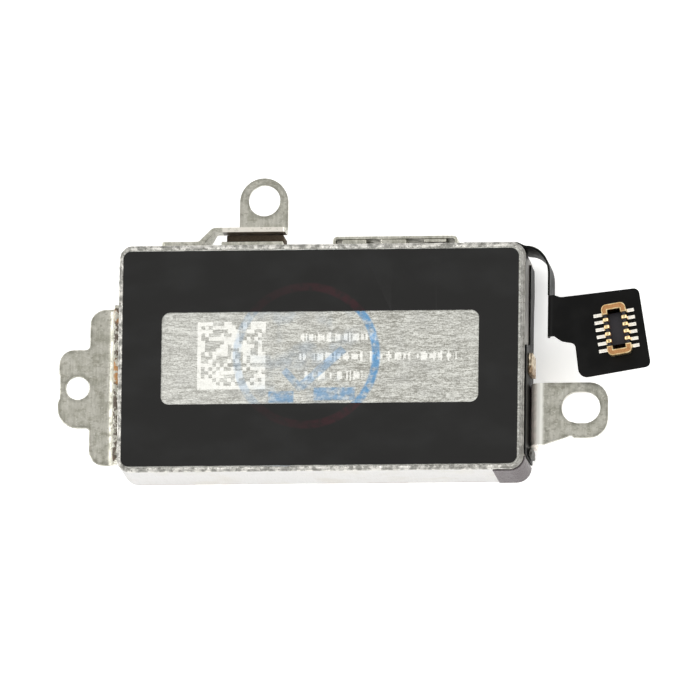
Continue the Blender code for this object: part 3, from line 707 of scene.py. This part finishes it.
def finished(name, bm, finish, stands_for, body=None):
    """Make a bmesh in millimetres a declared piece in metres, evenly shaded."""
    bmesh.ops.recalc_face_normals(bm, faces=bm.faces)
    bmesh.ops.scale(bm, vec=(MM, MM, MM), verts=bm.verts)
    mesh = bpy.data.meshes.new(name)
    bm.to_mesh(mesh)
    bm.free()
    mesh.materials.append(finish)
    mesh.shade_smooth()
    mesh.set_sharp_from_angle(angle=SHARP)
    draft = placed(name + "_draft", mesh)
    draft.modifiers.new("even_shading", "WEIGHTED_NORMAL").keep_sharp = True
    return declared(settle(draft, name), stands_for, body)


# %% [markdown]
# ## The can
# A press draws the can from one disc of sheet: flat floor, rounded foot, straight walls and a
# sheared rim. So it is a stack of rounded rectangles, each a little larger or smaller. Noise
# dents the rim by a few hundredths of a millimetre, because a sheared edge is never even.

# %% Can
can_low, can_high = box_mm("can_shell")
CAN_LENGTH, CAN_WIDTH, CAN_HEIGHT = can_high - can_low
CAN_WALL = 0.18
CAN_CORNER = 0.75
CAN_FLOOR = 0.2
FOOT_RADIUS = 0.3
BOWL_RADIUS = 0.2
RIM_ROUND = 0.035
OUTLINE_STEP = 0.16


def can_ring(inset, height, nick=0.0):
    """One level of the can; nick is how far noise may move its points."""
    radius = max(CAN_CORNER - inset, 0.12)
    outline = rounded_rectangle(CAN_LENGTH - 2 * inset, CAN_WIDTH - 2 * inset, radius)
    points = []
    for x, y in divided(outline, OUTLINE_STEP):
        dent = wave(x * 2.1, y * 2.1, 0.3) + wave(x * 7, y * 7, 4.0)
        pull = 1 - nick * 0.1 * dent
        points.append((x * pull if abs(x) > CAN_LENGTH / 2 - 1 else x,
                       y * pull if abs(y) > CAN_WIDTH / 2 - 1 else y, height + nick * min(dent, 0.2)))
    return points


def build_can():
    quarter = [math.pi / 2 * k / 8 for k in range(9)]
    foot = [(FOOT_RADIUS * (1 - math.sin(a)), FOOT_RADIUS * (1 - math.cos(a)), 0.0) for a in quarter]
    walls = [(0.0, height, 0.0) for height in (1.2, 2.1, 3.0, 3.9)]
    outer_round = [(RIM_ROUND * (1 - math.cos(a)), CAN_HEIGHT - RIM_ROUND * (1 - math.sin(a)), 0.02)
                   for a in quarter[::2]]
    land = [(share * CAN_WALL, CAN_HEIGHT, 0.03) for share in (0.45, 0.7)]
    inner = [(CAN_WALL, CAN_HEIGHT - RIM_ROUND, 0.01)]
    bowl = [(CAN_WALL + BOWL_RADIUS * (1 - math.cos(a)),
             CAN_FLOOR + BOWL_RADIUS * (1 - math.sin(a)), 0.0) for a in quarter]
    return stacked([can_ring(*level) for level in foot + walls + outer_round + land + inner + bowl])


finished("can", build_can(), CAN_STEEL, ["can_shell"], "can")

# %% [markdown]
# ## Weld spots round the rim
# A laser tacks the cover to the can with hundreds of small overlapping spots. An Array can't
# turn a corner. In Geometry Nodes a rounded rectangle is cut into even steps, and a flat dome is
# set on each, a little turned and scaled.

# %% Geometry Nodes helpers
def node_group(name, inputs):
    """A Geometry Nodes tree with named inputs, and a link to its first input."""
    group = bpy.data.node_groups.new(name, "GeometryNodeTree")
    group.interface.new_socket("Geometry", in_out="INPUT", socket_type="NodeSocketGeometry")
    for input_name, kind in inputs.items():
        group.interface.new_socket(input_name, in_out="INPUT", socket_type=kind)
    group.interface.new_socket("Geometry", in_out="OUTPUT", socket_type="NodeSocketGeometry")
    tree = Tree(group)
    return tree, tree.node("NodeGroupInput")


def end_tree(tree, shape, material):
    """Real geometry with its material at the tree's end."""
    real = tree.node("GeometryNodeRealizeInstances", sockets={0: shape})
    dressed = tree.node("GeometryNodeSetMaterial", sockets={"Geometry": real, "Material": material})
    tree.node("NodeGroupOutput", sockets={0: dressed})


def grown(name, tree, mesh, values):
    """Run a tree on a mesh with its inputs set, and keep the result as a plain piece."""
    draft = placed(name + "_draft", mesh)
    modifier = draft.modifiers.new(name, "NODES")
    modifier.node_group = tree.tree
    for item in tree.tree.interface.items_tree:
        if item.in_out == "INPUT" and item.name in values:
            modifier[item.identifier] = values[item.name]
    return settle(draft, name)


def fillet(tree, curve, radius, count):
    sockets = {"Curve": curve, "Radius": radius, "Count": count, "Limit Radius": True}
    return tree.node("GeometryNodeFilletCurve", {"mode": "POLY"}, sockets)


print("tree helpers ready")

# %% Weld spots
WELD_PITCH = 0.055
WELD_RADIUS = 0.075
WELD_SINK = 0.022   # how far the spots' middles lie below the rim


def weld_tree(finish):
    names = ("Length", "Width", "Corner", "Pitch", "Spot radius", "Height")
    sizes = dict.fromkeys(names, "NodeSocketFloat")
    t, given = node_group("weld_spots", {**sizes, "Seed": "NodeSocketInt"})
    seam = t.node("GeometryNodeCurvePrimitiveQuadrilateral",
                  sockets={"Width": given.out(1), "Height": given.out(2)})
    seam = fillet(t, seam, given.out(3), 12)
    seam = t.node("GeometryNodeResampleCurve", {"mode": "LENGTH"},
                  {"Curve": seam, "Length": given.out(4)})
    dome = t.node("GeometryNodeMeshIcoSphere", sockets={"Radius": given.out(5), "Subdivisions": 2})
    dome = t.node("GeometryNodeTransform", sockets={"Geometry": dome, "Scale": (1.0, 1.0, 0.2)})
    turn = t.node("FunctionNodeRandomValue", {"data_type": "FLOAT_VECTOR"},
                  {0: (-0.3, -0.3, 0.0), 1: (0.3, 0.3, 6.28), 8: given.out(7)})
    size = t.node("FunctionNodeRandomValue", {"data_type": "FLOAT"},
                  {2: 0.6, 3: 1.2, 8: given.out(7)}, out=1)
    spots = t.node("GeometryNodeInstanceOnPoints",
                   sockets={"Points": seam, "Instance": dome, "Rotation": turn, "Scale": size})
    lift = t.node("ShaderNodeCombineXYZ", sockets={2: given.out(6)})
    spots = t.node("GeometryNodeTransform", sockets={"Geometry": spots, "Translation": lift})
    spots = t.node("GeometryNodeRealizeInstances", sockets={0: spots})
    spots = t.node("GeometryNodeSetShadeSmooth", sockets={0: spots})
    end_tree(t, spots, finish)
    return t


seam_inset = CAN_WALL + 0.01
welds = grown("weld_spots", weld_tree(CAN_STEEL), bpy.data.meshes.new("weld_seed"), {
    "Length": (CAN_LENGTH - 2 * seam_inset) * MM, "Width": (CAN_WIDTH - 2 * seam_inset) * MM,
    "Corner": (CAN_CORNER - seam_inset) * MM, "Pitch": WELD_PITCH * MM,
    "Spot radius": WELD_RADIUS * MM, "Height": (CAN_HEIGHT - WELD_SINK) * MM, "Seed": 7})
declared(welds, [], "can")

# %% [markdown]
# ## The film
# The film is die-cut with a window. A worn die wanders by a hundredth of a millimetre and leaves
# a few whiskers. Those tiny steps stop the black edge from looking drawn.

# %% Film
FILM_CENTRE = (-0.07, 0.0)
FILM_CORNER = 0.45
FILM_MARGIN = 0.02
WINDOW = (17.57, 5.16)


def cut_edge(length, width, seed):
    """A rounded rectangle as a worn die cuts it."""
    points = []
    for x, y in divided(rounded_rectangle(length, width, FILM_CORNER, FILM_CENTRE), 0.12):
        wander = wave(x * 1.3, y * 1.3, seed) * 0.5
        whisker = max(0.0, wave(x * 5, y * 5, seed + 3) - 0.42) * 2.2
        pull = 1 + 0.022 * (wander + whisker) / max(abs(x - FILM_CENTRE[0]), abs(y), 1)
        points.append((FILM_CENTRE[0] + (x - FILM_CENTRE[0]) * pull, y * pull))
    return points


film_low, film_high = box_mm("insulating_film")
film_size = [side - FILM_MARGIN for side in (film_high - film_low).xy]
film = slab(cut_edge(*film_size, 1.0), film_low.z, film_high.z, [cut_edge(*WINDOW, 9.0)])
finished("film", eased(film, 0.01, 1), FILM, ["insulating_film"], "can")

# %% [markdown]
# ## Stamped ears and plates
# A stamped edge is rounded where the punch pulls the sheet in, and catches a thin line of light.
# The CAD solids are sharp. Rather than model them again we weld a copy of each, bevel its sharp
# edges and let a weighted normal keep the broad faces flat.

# %% Ears, channel, lugs and foil
STAMPED = {"left_ear": ("left_bracket", 0.05), "right_ear": ("right_bracket", 0.05),
           "rear_ear": ("rear_bracket", 0.045), "rear_plate": ("rear_backing_plate", 0.03),
           "guard_channel": ("rear_guard_channel", 0.03), "corner_foil": ("corner_patch", 0.012)}
STAMPED |= {f"lug_{number}": (f"rear_lug_{number}", 0.04) for number in (1, 2, 3)}
HOLES = {   # centre and radius of each round cut edge
    "left_ear": [((-13.68, -1.29), 0.65)],
    "right_ear": [((14.42, -2.64), 0.885), ((14.04, -2.64), 0.885)],
    "rear_ear": [((-3.465, 9.075), 1.335), ((-3.44, 9.15), 0.875)],
}
for piece_name, (node_name, edge) in STAMPED.items():
    finish = FOIL if piece_name == "corner_foil" else NICKEL
    solid = welded_copy(node_name)
    for centre, radius in HOLES.get(piece_name, ()):
        rounder(solid, centre, radius)
    finished(piece_name, worn_rim(eased(solid, edge)), finish, [node_name], "can")

# %% A brown block in the gap under the rear arm: a painted shade of the gap
SHADE_FILL_SIZE = (3.15, 0.44)
SHADE_FILL_CENTRE = (-3.86, 6.88)
SHADE_FILL_HEIGHTS = (1.4, 3.0)
gap = slab(rounded_rectangle(*SHADE_FILL_SIZE, 0.05, SHADE_FILL_CENTRE), *SHADE_FILL_HEIGHTS)
finished("gap_shade_block", eased(gap, 0.03), SHADE_FILL, [], "can")

# %% [markdown]
# ## Solder pads and glue
# Melted metal and thick glue pull themselves round. A box with chamfers stays a box, so pads and
# bead start as a finely divided cube that is blown towards a soft block. Noise then makes each
# one its own shape.

# %% Pads and bead
def soft_block(node, power, lumps, seed, spread=(0, 0, 0)):
    """A rounded, lumpy block that fills a node's box and spreads past it. A high power is boxier."""
    low, high = box_mm(node)
    middle, half = (low + high) / 2, (high - low) / 2 + Vector(spread)
    bm = bmesh.new()
    bmesh.ops.create_cube(bm, size=2)
    bmesh.ops.subdivide_edges(bm, edges=bm.edges[:], cuts=11, use_grid_fill=True)
    for vert in bm.verts:
        reach = sum(abs(value) ** power for value in vert.co) ** (1 / power)
        lump = 1 - lumps * (0.5 + 0.5 * wave(*(vert.co * 1.7 + Vector((seed, 0, 0)))))
        vert.co = middle + half * vert.co / reach * lump
    return bm


for end, node_name, seed, spread in (("rear", "solder_pad_2", 1.0, (0.04, 0.2, 0.55)),
                                     ("front", "solder_pad_1", 5.0, (0.04, 0.0, 0.55))):
    pad = soft_block(node_name, 7, 0.08, seed, spread)
    finished(f"solder_{end}", pad, SOLDER_GOLD, [node_name], "can")
finished("glue", soft_block("glue_bead", 3.5, 0.35, 2.5), GLUE, ["glue_bead"], "can")

# %% [markdown]
# ## The flexible circuit
# A flex is a springy sandwich of film and copper. It lies on the end wall as a strip, leaves on
# edge past the rear corner and folds over into the plug's board. The strip lifts off the wall a
# little at its free lower edge.

# %% Strip on the wall
STRIP_LIFT = 0.03
FREE_HEIGHT = 1.5   # below this the strip is not glued down


def lifted_strip():
    bm = gridded(welded_copy("wall_flex_strip"), 0.25)
    for vert in bm.verts:
        vert.co.y += 0.3 * max(0.0, vert.co.y - 4.2)
        free = max(0.0, FREE_HEIGHT - vert.co.z) / FREE_HEIGHT
        vert.co.x += STRIP_LIFT * free ** 2 * math.exp(-((vert.co.y - 4.1) / 0.9) ** 2)
    return bm


finished("wall_strip", eased(lifted_strip(), 0.015, 2), COVERLAY, ["wall_flex_strip"], "can")
finished("tail", eased(welded_copy("flex_tail"), 0.025), COVERLAY, ["flex_tail"], "can")

# %% [markdown]
# ## The fold
# The plug turns on the fold. On one body alone the fold would tear from the tail or the board, so
# it is attached to no body here. The fold is made again with many steps round its quarter turn.

# %% Fold
FLEX = 0.12
FOLD_RADIUS = 0.31
LEG_STEPS = 12
TURN_STEPS = 20
TRIM_DROP = 0.25               # the front lower corner is trimmed from here below the axis
TRIM_NORMAL = (0, 0.75, 0.66)
fold_low, fold_high = box_mm("flex_fold")
axis_x, _, axis_z = Vector(next(j for j in frame["joints"] if j["name"] == "plug_fold")["pos_m"]) / MM
leg = axis_z - fold_low.z
fold_path = [(axis_x - FOLD_RADIUS, fold_low.z + leg * k / LEG_STEPS) for k in range(LEG_STEPS)]
fold_path += arc((axis_x, axis_z), FOLD_RADIUS, 180, 90, TURN_STEPS)
fold_path.append((axis_x + 0.04, axis_z + FOLD_RADIUS - 0.002))
fold = slab(ribbon(fold_path, FLEX), fold_low.y, fold_high.y)
for vert in fold.verts:
    vert.co = vert.co.xzy
bmesh.ops.bisect_plane(fold, geom=fold.verts[:] + fold.edges[:] + fold.faces[:], dist=1e-5,
                       plane_co=(0, fold_low.y, axis_z - TRIM_DROP), plane_no=TRIM_NORMAL,
                       clear_inner=True)
bmesh.ops.holes_fill(fold, edges=[edge for edge in fold.edges if edge.is_boundary])
fold_piece = finished("fold", fold, COVERLAY, ["flex_fold"])
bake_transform(fold_piece)

# %% [markdown]
# ## The plug's board and housing
# The board end is the same flex, cut to a flag and stiffened with a plate. The housing is a
# moulded tray with small radii. Both are eased copies of their CAD solids.

# %% Board and housing
for part, finish in (("board", COVERLAY), ("housing", POLYMER)):
    finished(part, eased(welded_copy(f"plug_{part}"), 0.02), finish, [f"plug_{part}"], "plug")

# %% Power terminals with raised rims
PLUG_HEIGHT = 0.56
BAND = 0.31
BAND_RIM = 0.055
BAND_DISH = 0.04
BAND_FOOT = 0.42
ARM_END = 0.9
seat = box_mm("plug_housing")[0].z


def band_path(arm_end, corner=0.13, x=0.515, y=1.28):
    """The middle of a terminal's top band: an arm, two corners, an arm."""
    turns = [point for side, start in ((1, 0), (-1, 90))
             for point in arc((side * (x - corner), y - corner), corner, start, start + 90, 10)]
    return [(x, arm_end), *turns, (-x, arm_end)]


def placed_on_plug(piece, turn=0.0):
    """Turn and move a mesh made about the plug's own centre to its seat on the board."""
    move = Matrix.Translation(Vector((*PLUG_CENTRE, seat)) * MM)
    piece.data.transform(move @ Matrix.Rotation(PLUG_TURN + turn, 4, "Z"))
    return piece


for end, turn in (("rear", 0.0), ("front", math.pi)):
    shell = welded_copy(f"power_terminal_{end}")
    for vert in shell.verts:
        vert.co.z = min(vert.co.z, seat + PLUG_HEIGHT - BAND_DISH)
    finished(f"terminal_{end}", shell, PLUG_GOLD, [f"power_terminal_{end}"], "plug")
    hole = ribbon(band_path(ARM_END + BAND_RIM), BAND - 2 * BAND_RIM)
    rim = slab(ribbon(band_path(ARM_END), BAND), BAND_FOOT, PLUG_HEIGHT, [hole])
    rim = finished(f"terminal_rim_{end}", eased(rim, 0.022, 2), PLUG_GOLD, [])
    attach(placed_on_plug(rim, turn), "plug")

# %% [markdown]
# ## Contacts and tails, all from one tree
# Each contact is a strip of gold sheet bent up, over and down the housing's wall, with a tail
# flat on the board. One tree rounds the bends of a path, gives it the strip's section and repeats
# it at an even pitch. The end terminals' four flat tails are the same tree with a straight path,
# so their pitch can't drift from the contacts'.

# %% Contact rows
PITCH = 0.4
CONTACT_SHEET = 0.07
CONTACT_WIDTH = 0.19
HALF_WIDTH = 0.585
HOUSING_WALL = 0.14
CLEARANCE = 0.015
INNER_FOOT = 0.2
BEND_RADIUS = 0.055
END_PITCH = PITCH * 5
SIDES = (("left", -1, 1.17), ("right", 1, 1.08))   # name, direction, tip of the tails


def contact_tree(finish):
    sizes = dict.fromkeys(("Pitch", "Width", "Sheet", "Bend radius"), "NodeSocketFloat")
    t, given = node_group("contact_row", {"Count": "NodeSocketInt", **sizes})
    path = t.node("GeometryNodeMeshToCurve", sockets={"Mesh": given})
    path = fillet(t, path, given.out(5), 5)
    section = t.node("GeometryNodeCurvePrimitiveQuadrilateral",
                     sockets={"Width": given.out(3), "Height": given.out(4)})
    section = fillet(t, section, given.out(4) * 0.48, 4)
    strip = t.node("GeometryNodeCurveToMesh",
                   sockets={"Curve": path, "Profile Curve": section, "Fill Caps": True})
    step = t.node("ShaderNodeCombineXYZ", sockets={1: given.out(2)})
    start = t.node("ShaderNodeCombineXYZ", sockets={1: (given.out(1) - 1) * given.out(2) * -0.5})
    row = t.node("GeometryNodeMeshLine",
                 sockets={"Count": given.out(1), "Start Location": start, "Offset": step})
    row = t.node("GeometryNodeInstanceOnPoints", sockets={"Points": row, "Instance": strip})
    end_tree(t, row, finish)
    return t


def path_mesh(name, points):
    """An open line of points as a mesh of edges, in metres."""
    mesh = bpy.data.meshes.new(name)
    edges = [(k, k + 1) for k in range(len(points) - 1)]
    mesh.from_pydata([tuple(value * MM for value in point) for point in points], edges, [])
    return mesh


def shaded(piece):
    """Faces outwards, smooth except over sharp edges."""
    bm = bmesh.new()
    bm.from_mesh(piece.data)
    bmesh.ops.recalc_face_normals(bm, faces=bm.faces)
    bm.to_mesh(piece.data)
    bm.free()
    piece.data.shade_smooth()
    piece.data.set_sharp_from_angle(angle=SHARP)
    return piece


contact_rows = contact_tree(PLUG_GOLD)


def gold_row(name, side, path, nodes, **values):
    """A row of strips along a path across the plug. Values are the tree's inputs."""
    line = path_mesh(name + "_path", [(side * x, 0, z) for x, z in path])
    sizes = {"Width": CONTACT_WIDTH * MM, "Sheet": CONTACT_SHEET * MM, **values}
    row = shaded(grown(name, contact_rows, line, sizes))
    declared(placed_on_plug(row), nodes, "plug")


middle = CONTACT_SHEET / 2
out = HALF_WIDTH + CLEARANCE + middle
back = HALF_WIDTH - HOUSING_WALL - CLEARANCE - middle
crown = PLUG_HEIGHT - middle
for side_name, side, tip in SIDES:
    bent = [(tip, middle), (out, middle), (out, crown), (back, crown), (back, INNER_FOOT)]
    gold_row(f"contacts_{side_name}", side, bent, [f"contact_{side_name}_{k}" for k in (1, 2, 3, 4)],
             **{"Count": 4, "Pitch": PITCH * MM, "Bend radius": BEND_RADIUS * MM})

# %% Power tails
tail_start = HALF_WIDTH + CONTACT_SHEET + 2 * CLEARANCE
for side_name, side, tip in SIDES:
    nodes = [f"power_tail_{k}" for k in ((1, 3) if side < 0 else (2, 4))]
    gold_row(f"power_tails_{side_name}", side, [(tail_start, middle), (tip, middle)], nodes,
             **{"Count": 2, "Pitch": END_PITCH * MM, "Bend radius": 0.0})

# %% [markdown]
# ## Leaf springs
# The leaves join the can to the sliding mass, from the clamp on the wall to the clamp on the mass.
# Like the fold, they are attached to no body.

# %% Springs
SPRING_REACH = 3.9
for side_name, side, _ in SIDES:
    node_name = f"{side_name}_leaf_spring"
    low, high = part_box(node_name)
    leaf = eased(welded_copy(node_name), 0.02, 2)
    leaf = finished(f"leaf_{side_name}", leaf, SPRING, [node_name])
    middle_x, middle_z = (low.x + high.x) / 2, (low.z + high.z) / 2
    start, end = ((middle_x, y * MM, middle_z) for y in (side * SPRING_REACH, -side * SPRING_REACH))
    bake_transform(leaf)

# %% [markdown]
# ## Wound coils
# A coil is one long enamelled wire wound flat round a core, in two layers. A block with a striped
# material would do from afar, but the wire is easy to describe: each turn is a rounded rectangle
# one wire larger than the last, so a curve with a round bevel follows a spiral of such turns.

# %% Coils
WIRE = 0.185
TURNS = 9
LAYERS = 2
CORE_RADIUS = 0.45
OUTER_RADIUS = 1.9


def spiral(centre, half_length, half_width, height):
    """Rounded rectangles that grow by one wire in each turn."""
    points = []
    for turn in range(TURNS):
        inset = (TURNS - turn) * WIRE - WIRE / 2
        ring = rounded_rectangle(2 * (half_length - inset), 2 * (half_width - inset),
                                 max(CORE_RADIUS, OUTER_RADIUS - inset), centre, 6)
        points += [(x, y, height) for x, y in ring]
    return points


def wound_coil(name, node):
    low, high = box_mm(node)
    middle, half = (low + high) / 2, (high - low) / 2
    curve = bpy.data.curves.new(name, "CURVE")
    curve.dimensions = "3D"
    curve.bevel_depth = WIRE / 2 * MM
    curve.bevel_resolution = 2
    curve.use_fill_caps = True
    for layer in range(LAYERS):
        line = spiral((middle.x, middle.y), half.x, half.y, low.z + WIRE * (0.5 + layer) + 0.005)
        spline = curve.splines.new("POLY")
        spline.points.add(len(line) - 1)
        for point, place in zip(spline.points, line):
            point.co = (*(value * MM for value in place), 1)
    curve.materials.append(COPPER)
    coil = settle(placed(name + "_draft", curve), name)
    coil.data.shade_smooth()
    declared(coil, [node], "can")


for side_name, _, _ in SIDES:
    wound_coil(f"winding_{side_name}", f"coil_{side_name}")

# %% [markdown]
# ## Floor and light
# A lit white floor in a white tent gives bright edges and calm faces. Metal mirrors what is round
# it, so the tent is whitest halfway up and greyer overhead and at the horizon. Light from all
# sides leaves hardly any shadow but keeps narrow gaps dark. From below the floor is clear.

# %% Floor
def white_floor():
    f = Finish("white_floor", Roughness=0.9, Specular_IOR_Level=0.1,
               Emission_Color=(1.0, 1.0, 0.99), Emission_Strength=0.38)
    f.set(Base_Color=f.mix(f.grain(0.02, 2), (0.84, 0.84, 0.835), (0.87, 0.87, 0.865)))
    below = f.node("ShaderNodeNewGeometry", out=6)
    clear = f.node("ShaderNodeBsdfTransparent")
    both = f.node("ShaderNodeMixShader", sockets={0: below, 2: clear})
    f.tree.links.new(f.shader.outputs[0], both.source.inputs[1])
    f.tree.links.new(both.socket, f.tree.nodes["Material Output"].inputs["Surface"])
    return f.material


FLOOR_HALF = 0.5
FLOOR_Z = -0.01 * MM
floor_mesh = bpy.data.meshes.new("white_floor")
corners = [(x * FLOOR_HALF, y * FLOOR_HALF, FLOOR_Z) for x, y in ((-1, -1), (1, -1), (1, 1), (-1, 1))]
floor_mesh.from_pydata(corners, [], [(0, 1, 2, 3)])
floor_mesh.materials.append(white_floor())
placed("white_floor", floor_mesh)
print("floor at", FLOOR_Z / MM, "mm")

# %% Tent and lamps
def white_tent():
    world = bpy.data.worlds.new("white_tent")
    world.use_nodes = True
    bpy.context.scene.world = world
    t = Tree(world.node_tree)
    direction = t.node("ShaderNodeTexCoord")
    height = t.node("ShaderNodeSeparateXYZ", sockets={"Vector": direction}, out=2)
    overhead = height.rise(0.72, 0.96)
    horizon = height.near(0.03, 0.22, 0.2) * (height > 0.0)
    tone = t.mix(overhead, (1.0, 1.0, 0.985), (0.45, 0.45, 0.445))
    tone = t.mix(horizon, tone, (0.60, 0.60, 0.605))
    background = world.node_tree.nodes["Background"].inputs
    t.feed(background["Color"], tone)
    t.feed(background["Strength"], 1.25)


def soft_lamp(name, place, size, power):
    """A square lamp, in metres and watts, that faces the object."""
    data = bpy.data.lights.new(name, "AREA")
    data.size, data.energy = size, power
    lamp = placed(name, data)
    lamp.location = place
    lamp.rotation_euler = (-Vector(place)).to_track_quat("-Z", "Y").to_euler()


white_tent()
soft_lamp("left_lamp", (-0.32, -0.05, 0.26), 0.22, 0.45)
soft_lamp("right_lamp", (0.30, 0.10, 0.26), 0.22, 0.45)
soft_lamp("front_lamp", (0.05, -0.34, 0.26), 0.22, 0.35)
print("lamps:", len(bpy.data.lights))

# %% [markdown]
# ## Camera
# The view is almost straight down, tipped a little to the front and right, from a metre away with
# a very long lens, so the box's sides show as thin bands and nothing bulges.

# %% Camera
TIP_RIGHT = 0.11594
TIP_FRONT = 0.19576
ROLL = 0.0127
DISTANCE = 1.011
FIELD = 0.0385
AIM_POINT = Vector((-0.07, 0.0, 4.1)) * MM
AIM_RIGHT = 1.666 * MM
AIM_UP = 0.393 * MM

away = Vector((math.tan(TIP_RIGHT), -math.tan(TIP_FRONT), 1)).normalized()
up = (Vector((0, 1, 0)) - away * away.y).normalized()
right = up.cross(away)
right, up = right * math.cos(ROLL) + up * math.sin(ROLL), up * math.cos(ROLL) - right * math.sin(ROLL)
camera_data = bpy.data.cameras.new("camera")
camera_data.lens = camera_data.sensor_width * DISTANCE / FIELD
camera_data.clip_start, camera_data.clip_end = 0.05, 10
camera = placed("camera", camera_data)
place = AIM_POINT + right * AIM_RIGHT + up * AIM_UP + away * DISTANCE
camera.matrix_world = Matrix.Translation(place) @ Matrix((right, up, away)).transposed().to_4x4()
bpy.context.scene.camera = camera
bpy.context.scene.view_settings.view_transform = "Standard"
print("lens:", round(camera_data.lens), "mm")

# %% [markdown]
